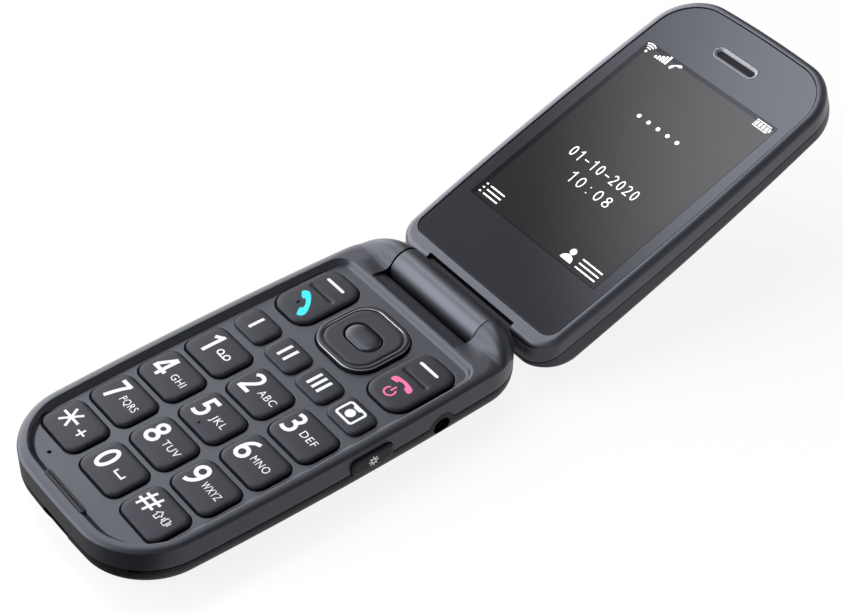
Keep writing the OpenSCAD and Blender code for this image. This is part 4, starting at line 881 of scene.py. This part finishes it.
def lid_cover():
    top = LID_SEAM - LID_GAP
    rings = [shell_ring(v) for v in curve_through(SHELL_LEVELS, 6)]
    rings += [lid_level(inset, top - step) for inset, step in softened(LID_SOFT)[::-1]]
    inner = [shell_ring(v, LID_WALL) for v in curve_through(SHELL_LEVELS[:-1], 3)]
    inner.append(at(lid_ring(LID_WALL, end_y(LID_SEAM)), LID_SEAM + 1))
    lamp_hole = key_ring(LAMP_X, 0, LAMP_W + 0.1, LAMP_W + 0.1, LAMP_R, 0)
    obj = loft(rings, "lid_cover_skin", ON_LID)
    cut(obj, loft(inner, place=ON_LID), drum(0, 0, CAM_R + 0.05, -1, 3, 96, ON_BACK),
        loft([at(lamp_hole, -1), at(lamp_hole, 3)], place=ON_BACK))
    return clean(obj)


dress(lid_cover(), "lid", LID_SHELL, "lid_back", "lid_cover", angle=30)


# Lens, open over the picture and at the earpiece

LENS_EDGE = [(0.12, LENS_BACK), (0.12, LENS_FACE - 0.1), (0.15, LENS_FACE - 0.03), (0.22, LENS_FACE)]
LCD_SHIFT_X, LCD_SHIFT_Y = 0.2, -0.1
EAR_BOX = (0, EAR_Y, EAR_L, EAR_W, EAR_W / 2 - 0.05)


def lens_window(inset):
    """Place of the picture: a flat rectangle on the lens."""
    return (-LCD_W / 2 + LCD_SHIFT_X + inset, LCD_W / 2 + LCD_SHIFT_X - inset,
            LCD_START + LCD_SHIFT_Y + inset, LCD_START + LCD_L + LCD_SHIFT_Y - inset)


def ear_level(inset, z):
    return at(key_ring(*EAR_BOX, inset), z)


def lens():
    obj = loft([at(lens_ring(inset), z) for inset, z in LENS_EDGE], "lens_skin", ON_LID)
    return clean(cut(obj, block(*lens_window(0), -6, 0, place=ON_LID),
                     loft([ear_level(0, -6), ear_level(0, 0)], place=ON_LID)))


dress(lens(), "lid", PRINT, "lens", "display_lens", angle=30)


# Screen: the lens's clear window with the lit picture bonded to it, and its dark margins, whose wide left and
# top parts are painted shade of the picture's recessed edge

LCD_Z = LENS_FACE - 0.012
SCREEN_T = 0.6
# The thin margins are the screen's own dark border; the wide left and top margins are painted shade where the
# recessed picture's edge is shaded
SIDE_MARGIN_AND_SHADE, TOP_MARGIN_AND_SHADE, THIN_MARGIN = 1.4, 1.15, 0.2
X0, X1, Y0, Y1 = lens_window(0.035)
for name, finish, x0, x1, y0, y1 in (
        ("screen", SCREEN, X0 + SIDE_MARGIN_AND_SHADE, X1 - THIN_MARGIN, Y0 + THIN_MARGIN, Y1 - TOP_MARGIN_AND_SHADE),
        ("screen_margin_left", MARGIN, X0, X0 + SIDE_MARGIN_AND_SHADE, Y0, Y1),
        ("screen_margin_top", MARGIN, X0 + SIDE_MARGIN_AND_SHADE, X1, Y1 - TOP_MARGIN_AND_SHADE, Y1),
        ("screen_margin_near", MARGIN, X0 + SIDE_MARGIN_AND_SHADE, X1, Y0, Y0 + THIN_MARGIN),
        ("screen_margin_right", MARGIN, X1 - THIN_MARGIN, X1, Y0 + THIN_MARGIN, Y1 - TOP_MARGIN_AND_SHADE)):
    pane = block(x0, x1, y0, y1, LCD_Z - SCREEN_T, LCD_Z, name, ON_LID)
    dress(pane, "lid", finish, "display", weighted=False)


# Marks: flat solids made of strokes and outlines

INK_T = 0.05
TOP = KEY_TOP + 0.02


def band(left, right, closed, z, place=None):
    """Thin solid between the two sides of a stroke."""
    k = len(left)
    verts = np.vstack([at(left, z), at(right, z), at(left, z - INK_T), at(right, z - INK_T)])
    faces = []
    for i in range(k if closed else k - 1):
        j = (i + 1) % k
        faces += [(i, k + i, k + j, j), (2 * k + i, 2 * k + j, 3 * k + j, 3 * k + i),
                  (i, j, 2 * k + j, 2 * k + i), (k + i, 3 * k + i, 3 * k + j, k + j)]
    if not closed:
        faces += [(0, 2 * k, 3 * k, k), (k - 1, 2 * k - 1, 4 * k - 1, 3 * k - 1)]
    return fix_normals(new_piece("mark", verts, faces, place))


def stroke(points, width, z=TOP, closed=False, n=1, place=None):
    """Band of even width along the points, or along a smooth curve through them where n is above 1."""
    p = curve_through(points, n, closed) if n > 1 else np.asarray(points, float)
    d = np.roll(p, -1, 0) - np.roll(p, 1, 0) if closed else np.gradient(p, axis=0)
    d /= np.linalg.norm(d, axis=1)[:, None]
    side = np.c_[-d[:, 1], d[:, 0]] * width / 2
    return band(p + side, p - side, closed, z, place)


def shape(points, z=TOP, place=None):
    p = np.asarray(points, float)
    return loft([at(p, z - INK_T), at(p, z)], "mark", place)


def bar(x0, y0, x1, y1, width):
    """Straight stroke with points enough to follow a key's dome."""
    return stroke(np.linspace((x0, y0), (x1, y1), 7), width)


def arc(cx, cy, r, a0, a1, n):
    return [(cx + r * math.cos(v), cy + r * math.sin(v)) for v in np.radians(np.linspace(a0, a1, n))]


def loop(cx, cy, rx, ry, n=24):
    return [(cx + rx * math.cos(v), cy + ry * math.sin(v))
            for v in np.radians(np.linspace(90, 90 - 360 * (n - 1) / n, n))]


def merge(solids):
    """One solid out of marks that cross."""
    return clean(add(*solids))


def settle(obj, box):
    """Lays a mark drawn on a flat key onto the key's domed top."""
    for v in obj.data.vertices:
        v.co.z -= pillow(np.array([v.co[:2]]) / MM, box)[0] * MM


def mark(name, key, *solids, ink=INK, slot="keycap"):
    obj = solids[0] if len(solids) == 1 else merge(solids)
    obj.name = name
    if key in KEY_BOX:
        settle(obj, KEY_BOX[key])
    dress(obj, f"{key}_body", ink, slot, angle=30, weighted=False)


# Digits in a box one unit high: each stroke has its points, and says if it is closed and if it is curved

def line(*points):
    return points, False, False


def curve(*points):
    return points, False, True


def oval(*box):
    return loop(*box), True, True


DIGITS = {
    "0": [oval(0.31, 0.5, 0.225, 0.415)],
    "1": [line((0.40, 0), (0.40, 1.0)), line((0.40, 0.93), (0.12, 0.74))],
    "2": [curve((0.075, 0.80), (0.17, 0.89), (0.32, 0.915), (0.46, 0.85), (0.505, 0.71), (0.45, 0.55),
                (0.32, 0.37), (0.2, 0.22), (0.085, 0.085)), line((0.03, 0.085), (0.58, 0.085))],
    "3": [curve((0.08, 0.875), (0.24, 0.915), (0.40, 0.87), (0.45, 0.74), (0.39, 0.6), (0.27, 0.545),
                (0.17, 0.535)),
          curve((0.17, 0.535), (0.30, 0.53), (0.43, 0.46), (0.49, 0.32), (0.45, 0.17), (0.32, 0.09),
                (0.17, 0.085), (0.05, 0.13))],
    "4": [line((0.42, 1.0), (0.08, 0.33)), line((0.02, 0.27), (0.66, 0.27)), line((0.46, 0), (0.46, 1.0))],
    "5": [line((0.55, 0.915), (0.12, 0.915)), line((0.2, 0.97), (0.165, 0.47)),
          curve((0.165, 0.53), (0.30, 0.565), (0.43, 0.51), (0.495, 0.37), (0.46, 0.2), (0.34, 0.1),
                (0.19, 0.082), (0.05, 0.12))],
    "6": [curve((0.50, 0.93), (0.34, 0.88), (0.2, 0.75), (0.115, 0.56), (0.095, 0.36)),
          oval(0.315, 0.30, 0.222, 0.218)],
    "7": [line((0.04, 0.915), (0.56, 0.915)), curve((0.50, 0.93), (0.36, 0.55), (0.22, 0))],
    "8": [oval(0.31, 0.735, 0.185, 0.18), oval(0.31, 0.285, 0.228, 0.2)],
    "9": [curve((0.12, 0.07), (0.28, 0.12), (0.42, 0.25), (0.505, 0.44), (0.525, 0.64)),
          oval(0.305, 0.70, 0.222, 0.218)],
}


def digit(d, x, y, w, h, width, z, straight_n, place=None):
    solids = []
    for points, closed, curved in DIGITS[d]:
        p = np.array(points if curved else np.linspace(*points, straight_n)) * [w, h] + [x, y]
        solids.append(stroke(p, width, z, closed, 4 if curved else 1, place))
    return merge(solids)


def letters(word, x0, x1, y, cap):
    """Letters of the built-in face, fitted to a width, as a thin solid."""
    face_cap = 0.68
    data = bpy.data.curves.new("letters", "FONT")
    data.body, data.size, data.resolution_u, data.space_character = word, 1.0, 6, 1.12
    obj = bpy.data.objects.new("letters", data)
    SCENE.collection.objects.link(obj)
    bpy.context.view_layer.update()
    mesh = bpy.data.meshes.new_from_object(obj.evaluated_get(bpy.context.evaluated_depsgraph_get()))
    bpy.data.objects.remove(obj)
    bpy.data.curves.remove(data)
    bm = bmesh.new()
    bm.from_mesh(mesh)
    bmesh.ops.remove_doubles(bm, verts=bm.verts, dist=1e-5)
    across = [v.co.x for v in bm.verts]
    kx, ky = (x1 - x0) / (max(across) - min(across)), cap / face_cap
    left = min(across)
    for v in bm.verts:
        v.co = ((x0 + (v.co.x - left) * kx) * MM, (y + v.co.y * ky) * MM, TOP * MM)
    out = bmesh.ops.extrude_face_region(bm, geom=bm.faces[:])
    low = [g for g in out["geom"] if isinstance(g, bmesh.types.BMVert)]
    bmesh.ops.translate(bm, verts=low, vec=(0, 0, -INK_T * MM))
    bmesh.ops.recalc_face_normals(bm, faces=bm.faces)
    bm.to_mesh(mesh)
    bm.free()
    piece = bpy.data.objects.new("letters", mesh)
    SCENE.collection.objects.link(piece)
    return piece


# Numbers and letters on the keys

DIGIT_H, DIGIT_BOLD, DIGIT_UP, LEGEND_SHIFT = 6.2, 0.155, 0.3, 0.3
LETTER_CAP, LETTER_DOWN = 1.8, 1.0
DIGIT_X = {"1": -20.9, "2": -5.3, "3": 9.9, "4": -21.2, "5": -5.2, "6": 9.9, "7": -20.9, "8": -5.3, "9": 9.8,
           "0": -5.3}
LETTERS = {"2": ("ABC", -0.2, 5.0), "3": ("DEF", 15.0, 19.8), "4": ("GHI", -15.5, -11.3),
           "5": ("JKL", 0.0, 4.2), "6": ("MNO", 14.6, 20.0), "7": ("PQRS", -16.4, -11.2),
           "8": ("TUV", -0.2, 5.0), "9": ("WXYZ", 14.5, 20.0)}


def row_y(d):
    return KEY_BOX[f"key_{d}"][1]


for d, x in DIGIT_X.items():
    y = row_y(d) + DIGIT_UP - DIGIT_H / 2
    mark(f"digit_{d}", f"key_{d}",
         digit(d, x + LEGEND_SHIFT, y, DIGIT_H, DIGIT_H, DIGIT_BOLD * DIGIT_H, TOP, 7))
for d, (word, x0, x1) in LETTERS.items():
    mark(f"letters_{d}", f"key_{d}",
         letters(word, x0 + LEGEND_SHIFT, x1 + LEGEND_SHIFT, row_y(d) - LETTER_DOWN, LETTER_CAP))


# Signs on the keys

BOLD, PLUS_BOLD, SHIFT_BOLD, SPACE_BOLD, VOICE_BOLD, POWER_BOLD = 0.64, 0.46, 0.3, 0.4, 0.36, 0.4


def star_signs():
    x, y, r = -17.6, row_y("star") + 0.4, 2.7
    spokes = []
    for a in np.radians((0, 60, 120)):
        dx, dy = r * math.cos(a), r * math.sin(a)
        spokes.append(bar(x - dx, y - dy, x + dx, y + dy, BOLD))
    mark("sign_star", "key_star", *spokes)
    px, py, half = -12.4, y - 0.8, 1.2
    mark("sign_plus", "key_star", bar(px - half, py, px + half, py, PLUS_BOLD),
         bar(px, py - half, px, py + half, PLUS_BOLD))


def hash_signs():
    y, reach = row_y("hash") + 0.7, 2.45
    level = [bar(x, y + up, x + 4.8, y + up, BOLD) for x, up in ((9.8, -0.85), (10.0, 0.85))]
    upright = [bar(x, y - reach, x + 0.6, y + reach, BOLD) for x in (10.9, 13.1)]
    mark("sign_hash", "key_hash", *level, *upright)
    x, y = 16.4, row_y("hash") + 0.2
    arrow = [(-0.45, -1.1), (0.45, -1.1), (0.45, -0.1), (0.95, -0.1), (0, 1.05), (-0.95, -0.1), (-0.45, -0.1)]
    mark("sign_shift", "key_hash", stroke(np.array(arrow) + [x, y], SHIFT_BOLD, closed=True))
    x, w, h = 18.9, 0.5, 0.9
    phone = [(x - w, y - h), (x + w, y - h), (x + w, y + h), (x - w, y + h)]
    mark("sign_vibrate", "key_hash", stroke(phone, 0.28, closed=True))
    for k, dx in enumerate((-0.98, 0.98)):
        mark(f"sign_vibrate_{k}", "key_hash", bar(x + dx, y - 0.55, x + dx, y + 0.55, 0.26))


def space_and_voice_signs():
    y = row_y("0") - 0.1
    mark("sign_space", "key_0", bar(0.8, y - 0.55, 3.8, y - 0.55, 0.42),
         *(bar(x, y - 0.6, x, y + 0.5, SPACE_BOLD) for x in (0.99, 3.6)))
    x0, x1, y, r = -15.0, -12.7, row_y("1"), 0.72
    reels = [stroke(loop(x, y, r, r), VOICE_BOLD, closed=True, n=2) for x in (x0, x1)]
    mark("sign_voice", "key_1", *reels, bar(x0, y - r, x1, y - r, VOICE_BOLD))


def quick_signs():
    """One, two and three bars."""
    for n, xs in enumerate(((-17.9,), (-7.1, -4.95), (3.85, 5.55, 7.25)), 1):
        for k, x in enumerate(xs):
            mark(f"quick_bar_{n}_{k}", f"quick_key_{n}", bar(x, QUICK_Y - 1.95, x, QUICK_Y + 2.15, 0.82))


def soft_dashes():
    """A dash with round ends on the upper half of each rocker."""
    n, half_l, r, y = 31, 3.05, 0.39, 30.45
    t = np.linspace(-1, 1, n)
    into_end = np.clip((np.abs(t) * half_l - half_l + r) / r, 0, 1)
    side = np.c_[np.zeros(n), r * np.sqrt(np.clip(1 - into_end ** 2, 0.04, 1))]
    for key, x0 in (("call_key", -20.25), ("end_key", 13.65)):
        middle = np.c_[x0 + half_l + half_l * t, np.full(n, y)]
        mark(f"soft_dash_{key}", key, band(middle + side, middle - side, False, TOP))


def camera_signs():
    x, y, w, l, r, edge = 16.85, QUICK_Y + 0.1, 5.7, 4.9, 0.9, 0.58
    outer, inner = key_ring(x, y, w, l, r, 0), key_ring(x, y, w, l, r, edge)
    ring = loft([at(outer, TOP), at(inner, TOP), at(inner, TOP - INK_T), at(outer, TOP - INK_T)], closed=True)
    top, wide, narrow, tall = y + l / 2 - edge + 0.1, 1.4, 0.85, 0.6
    hump = shape([(x - wide, top), (x + wide, top), (x + narrow, top - tall), (x - narrow, top - tall)])
    mark("sign_camera", "camera_key", ring, hump)
    mark("sign_camera_dot", "camera_key", drum(x, QUICK_Y - 0.1, 1.2, TOP - INK_T, TOP, 40))


def rounded_outline(points, times):
    """Closed outline with its corners cut back a little, again and again."""
    p = np.asarray(points, float)
    for _ in range(times):
        q = np.roll(p, -1, 0)
        p = np.stack([0.82 * p + 0.18 * q, 0.18 * p + 0.82 * q], 1).reshape(-1, 2)
    return p


def handset(cx, cy, turn_deg, k=1.0, times=3):
    """Outline of a telephone handset seen from the side, its back up before it is turned."""
    a = math.radians(turn_deg)
    rot = np.array([[math.cos(a), -math.sin(a)], [math.sin(a), math.cos(a)]])
    half = [(0.75, 0.47), (1.5, 0.22), (1.45, -0.58), (3.95, -1.05), (4.15, 0.2), (3.55, 1.0), (2.2, 1.42)]
    p = [(0, 0.52)] + half + [(0, 1.62)] + [(-x, y) for x, y in half[::-1]]
    return (rounded_outline(p, times) * k) @ rot.T + [cx, cy]


def call_signs():
    mark("sign_call", "call_key", shape(handset(-16.95, 21.4, -45)), ink=CYAN)
    mark("sign_end", "end_key", shape(handset(16.68, 23.05, 0, 0.77)), ink=PINK)
    x, y, r = 16.6, 19.85, 1.27
    mark("sign_power_ring", "end_key", stroke(arc(x, y, r, 130, 410, 25), POWER_BOLD, n=2), ink=PINK)
    mark("sign_power_bar", "end_key", bar(x, 20.1, x, 21.75, POWER_BOLD), ink=PINK)


def nub(name, key, x, y, r):
    """Small dome that a finger finds."""
    rings = [at(circle(r, 20, x, y), KEY_TOP - 0.05)]
    for v in np.radians(np.linspace(0, 84, 7)):
        rings.append(at(circle(r * math.cos(v), 20, x, y), KEY_TOP + 0.3 * math.sin(v)))
    obj = loft(rings, name)
    settle(obj, KEY_BOX[key])
    dress(obj, f"{key}_body", KEYCAP, "keycap")


def torch_sign():
    """A sun on the torch key's face: a ring and eight rays."""
    place = Matrix(((0, 0, 1, SIDE_REACH * MM), (1, 0, 0, TORCH_Y * MM), (0, 1, 0, TORCH_Z * MM),
                    (0, 0, 0, 1)))
    solids = [stroke(loop(0, 0, 0.58, 0.58), 0.3, 0, True, 2, place)]
    for a in np.radians(45 * np.arange(8)):
        d = np.array([math.cos(a), math.sin(a)])
        solids.append(stroke([d * 0.84, d * 1.24], 0.26, 0, place=place))
    for k, obj in enumerate(solids):
        mark(f"sign_torch_{k}", "torch_key", obj, ink=SIDE_INK_PAINTED_GLOW, slot="side_key")


star_signs()
hash_signs()
space_and_voice_signs()
quick_signs()
soft_dashes()
camera_signs()
call_signs()
nub("nub_5", "key_5", -0.4, -17.4, 0.42)
nub("nub_call", "call_key", -18.25, 20.7, 0.5)
torch_sign()


# Picture on the screen: own numbers and plain signs

PIX = LCD_Z + 0.01
LCD_LEFT, LCD_RIGHT, LCD_TOP = -LCD_W / 2, LCD_W / 2, LCD_START + LCD_L
FINE, MENU_BOLD, MENU_UP, MENU_STEP = 0.3, 0.38, 1.5, 1.25


def lit(name, obj):
    obj.name = name
    dress(obj, "lid", LIT, "display", angle=30, weighted=False)


def lit_bar(name, x0, y0, x1, y1, width):
    lit(name, stroke([(x0, y0), (x1, y1)], width, PIX, place=ON_LID))


def lit_dot(name, x, y, r, n):
    lit(name, drum(x, y, r, PIX - INK_T, PIX, n, ON_LID))


def lit_digits(tag, body, x0, x1, y, cap):
    """A line of numbers, colons and dashes, spread evenly over a width."""
    step = (x1 - x0) / len(body)
    for k, c in enumerate(body):
        x = x0 + step * k
        if c == "-":
            lit_bar(f"{tag}_{k}", x + 0.2 * step, y + 0.45 * cap, x + 0.75 * step, y + 0.45 * cap, FINE)
        elif c == ":":
            x += 0.44 * step
            for m, up in enumerate((0.12, 0.66)):
                lit_bar(f"{tag}_{k}_{m}", x, y + up * cap - FINE / 2, x, y + up * cap + FINE / 2, FINE)
        else:
            lit(f"{tag}_{k}", digit(c, x + 0.1 * step, y, 1.12 * step, cap, FINE, PIX, 2, ON_LID))


def status_signs():
    """Signal bars, waves, a handset and the battery along the top."""
    for k in range(5):
        x, y = LCD_LEFT + 5.0 + 0.85 * k, LCD_TOP - 2.9
        lit_bar(f"screen_signal_{k}", x, y, x, y + 0.7 + 0.5 * k, 0.58)
    x, y = LCD_LEFT + 1.9, LCD_TOP - 2.8
    lit_dot("screen_wave_dot", x, y, 0.36, 20)
    for k, r in enumerate((1.05, 1.75, 2.45)):
        lit(f"screen_wave_{k}", stroke(arc(x, y, r, 125, 55, 9), 0.34, PIX, n=2, place=ON_LID))
    lit("screen_handset", shape(handset(LCD_LEFT + 11.2, LCD_TOP - 1.9, 39, 0.4, 2), PIX, ON_LID))
    x, y, h = LCD_RIGHT - 3.3, LCD_TOP - 1.75, 0.95
    cell = [(x - 2.3, y - h), (x + 2.0, y - h), (x + 2.0, y + h), (x - 2.3, y + h)]
    lit("screen_cell", stroke(cell, 0.24, PIX, True, place=ON_LID))
    for k in range(4):
        dx = 1.02 * k - 1.7
        lit_bar(f"screen_charge_{k}", x + dx, y - 0.62, x + dx, y + 0.62, 0.66)
    lit_bar("screen_cell_tip", x + 2.3, y - 0.45, x + 2.3, y + 0.45, 0.36)


def menu_signs():
    """A list at the left and a person with a list at the right, above the soft keys."""
    rows = [LCD_START + MENU_UP + MENU_STEP * k for k in range(3)]
    for k, y in enumerate(rows):
        lit_bar(f"screen_menu_dot_{k}", LCD_LEFT + 1.6, y, LCD_LEFT + 2.2, y, MENU_BOLD)
        lit_bar(f"screen_menu_{k}", LCD_LEFT + 3.1, y, LCD_LEFT + 8.0, y, MENU_BOLD)
    x, y, r, tall = LCD_RIGHT - 10.9, LCD_START + 1.2, 1.7, 1.55
    lit_dot("screen_person_head", x, y + 2.75, 0.85, 32)
    back = [(x + r * math.cos(a), y + 0.2 + tall * math.sin(a)) for a in np.radians(np.linspace(180, 0, 13))]
    lit("screen_person_body", shape([(x + r, y)] + back[::-1] + [(x - r, y)], PIX, ON_LID))
    for k, y in enumerate(rows):
        lit_bar(f"screen_people_{k}", x + 3.2, y, LCD_RIGHT - 1.2, y, MENU_BOLD)


lit_digits("screen_date", "01-10-2020", -11.9, 11.2, LCD_START + 22.0, 3.1)
lit_digits("screen_time", "10:08", -6.9, 8.0, LCD_START + 16.6, 3.3)
for k in range(5):
    lit_dot(f"screen_dot_{k}", (k - 2) * 3.2, LCD_START + 40.2, 0.55, 28)
status_signs()
menu_signs()


# Earpiece and the ring round the camera window

# Insets and heights over the lens's face
BEZEL_EDGE = [(0.05, -0.06), (0.09, 0.03), (0.2, 0.08), (0.34, 0.05), (0.55, -0.08), (0.82, -0.28),
              (0.95, -0.4), (1.0, -0.5)]
GRILLE_IN, GRILLE_DOWN = 0.95, 0.5
# Radii and depths on the lid's back
CAM_RING = [(2.9, 0.12), (3.0, 0.04), (3.3, 0.0), (3.48, 0.04), (3.56, 0.13), (3.56, 0.22), (2.9, 0.22)]


def ear_bezel():
    rings = [ear_level(0.05, LENS_BACK)] + [ear_level(inset, LENS_FACE + up) for inset, up in BEZEL_EDGE]
    return loft(rings + [ear_level(1.0, LENS_BACK)], "ear_bezel_skin", ON_LID, closed=True)


def ear_grille():
    levels = (LENS_BACK - 0.1, LENS_FACE - GRILLE_DOWN)
    return loft([ear_level(GRILLE_IN, z) for z in levels], "ear_grille", ON_LID)


def camera_ring():
    return loft([at(circle(r, 96), z) for r, z in CAM_RING], "camera_ring", ON_BACK, closed=True)


dress(ear_bezel(), "lid", BEZEL, "bezel", "earpiece_bezel", angle=40)
dress(ear_grille(), "lid", BLACK, "speaker")
dress(camera_ring(), "lid", STEEL, "window", angle=40)


# Finishes of the solids that stay

FINISH = {
    "chassis": FRAME_PLASTIC, "battery": CELL, "battery_contacts": GOLD, "main_board": BOARD,
    "dome_sheet": FILM, "key_mat": RUBBER, "shield_can": STEEL, "sim_holder": STEEL, "loudspeaker": BLACK,
    "microphone": STEEL, "vibration_motor": STEEL, "audio_jack": RUBBER, "charging_socket": STEEL,
    "side_switches": STEEL, "case_screws": STEEL, "hinge_cam": STEEL, "hinge_pin": STEEL,
    "nav_pad": RUBBER, "display_module": BLACK, "lid_board": BOARD, "earpiece": BLACK,
    "hinge_cartridge": STEEL, "hinge_spring": STEEL, "hinge_follower": BRASS, "camera_module": BLACK,
    "camera_window": CAM_GLASS, "torch_lamp": LAMP, "lid_screws": STEEL, "hinge_flex": CABLE,
}
for solid, finish in FINISH.items():
    mesh = NODES[solid].data
    mesh.materials.clear()
    mesh.materials.append(finish)


# Floor, light and background

FLOOR_HALF, FLOOR_Z, FLOOR_SHINE = 3.0, -0.0002, 0.88
# A dark card on the floor in front of the keypad end, for mirrors alone
CARD_START, CARD_FULL, CARD_DARK = -0.040, -0.052, 0.92
DIFFUSE_LEVEL = 0.05
# Soft lights of the studio: direction, full inside and gone outside these angles, strength,
# which is negative where one darkens
SOFT_LIGHTS = (
    ((-0.58, -0.60, 0.55), 16, 36, 5.2), ((-0.92, 0.15, 0.36), 15, 35, 4.2),
    ((-0.42, 0.14, 0.897), 2, 13, 7.0), ((-0.70, 0.22, 0.68), 3, 14, 2.2),
    ((0.80, 0.25, 0.55), 25, 50, -0.22), ((0.15, -0.10, 0.98), 15, 40, -0.45),
    ((0.20, 0.50, 0.84), 10, 34, -0.4), ((-0.57, 0.70, 0.42), 8, 32, -0.95))


def math_node(tree, operation, a, b):
    return node(tree, "ShaderNodeMath", a, b, operation=operation).outputs[0]


def ramp_node(tree, value, from_0, from_1, to_0, to_1):
    return node(tree, "ShaderNodeMapRange", value, from_0, from_1, to_0, to_1,
                interpolation_type="SMOOTHSTEP").outputs[0]


def ray_kinds(tree):
    """Ray flags, and 1 for rays from the camera, mirrors and glass, 0 for the light that falls on things."""
    path = node(tree, "ShaderNodeLightPath").outputs
    a = math_node(tree, "MAXIMUM", path["Is Camera Ray"], path["Is Glossy Ray"])
    return path, math_node(tree, "MAXIMUM", a, path["Is Transmission Ray"])


def stage():
    """White floor that looks evenly lit and still takes a soft shadow."""
    s = FLOOR_HALF
    corners = np.array([(-s, -s, 0), (s, -s, 0), (s, s, 0), (-s, s, 0)])
    floor = new_piece("floor", corners / MM, [(0, 1, 2, 3)])
    floor.location.z = FLOOR_Z
    m = bpy.data.materials.new("floor_white")
    m.use_nodes = True
    t = m.node_tree
    shader = t.nodes["Principled BSDF"].inputs
    shader["Base Color"].default_value = (0.1, 0.1, 0.1, 1)
    shader["Roughness"].default_value = 0.16
    shader["Specular IOR Level"].default_value = 0.3
    shader["Emission Color"].default_value = (1, 1, 1, 1)
    path, white = ray_kinds(t)
    place = node(t, "ShaderNodeSeparateXYZ", node(t, "ShaderNodeTexCoord").outputs["Object"])
    card = ramp_node(t, place.outputs["Y"], CARD_START, CARD_FULL, 0.0, CARD_DARK)
    bright = math_node(t, "SUBTRACT", 1.0, math_node(t, "MULTIPLY", card, path["Is Glossy Ray"]))
    shine = math_node(t, "MULTIPLY", math_node(t, "MULTIPLY", white, bright), FLOOR_SHINE)
    t.links.new(shine, shader["Emission Strength"])
    floor.data.materials.append(m)
    floor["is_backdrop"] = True


def world():
    """White background with the soft lights, which the camera itself doesn't see."""
    w = bpy.data.worlds.new("studio")
    SCENE.world = w
    w.use_nodes = True
    t = w.node_tree
    sky = t.nodes["Background"].inputs
    sky["Color"].default_value = (1, 1, 1, 1)
    place = node(t, "ShaderNodeTexCoord").outputs["Generated"]
    path, white = ray_kinds(t)
    total = node(t, "ShaderNodeMapRange", white, 0.0, 1.0, DIFFUSE_LEVEL, 1.0).outputs[0]
    clear = math_node(t, "MAXIMUM", path["Is Camera Ray"], path["Is Transmission Ray"])
    lit_part = math_node(t, "SUBTRACT", 1.0, clear)
    for axis, full, gone, strength in SOFT_LIGHTS:
        along = node(t, "ShaderNodeVectorMath", place, Vector(axis).normalized(), operation="DOT_PRODUCT")
        low, high = (math.cos(math.radians(v)) for v in (gone, full))
        lobe = ramp_node(t, along.outputs["Value"], low, high, 0.0, strength)
        total = math_node(t, "ADD", total, math_node(t, "MULTIPLY", lobe, lit_part))
    t.links.new(math_node(t, "MAXIMUM", total, 0.0), sky["Strength"])


stage()
world()

SCENE.view_settings.view_transform = "Standard"
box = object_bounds()
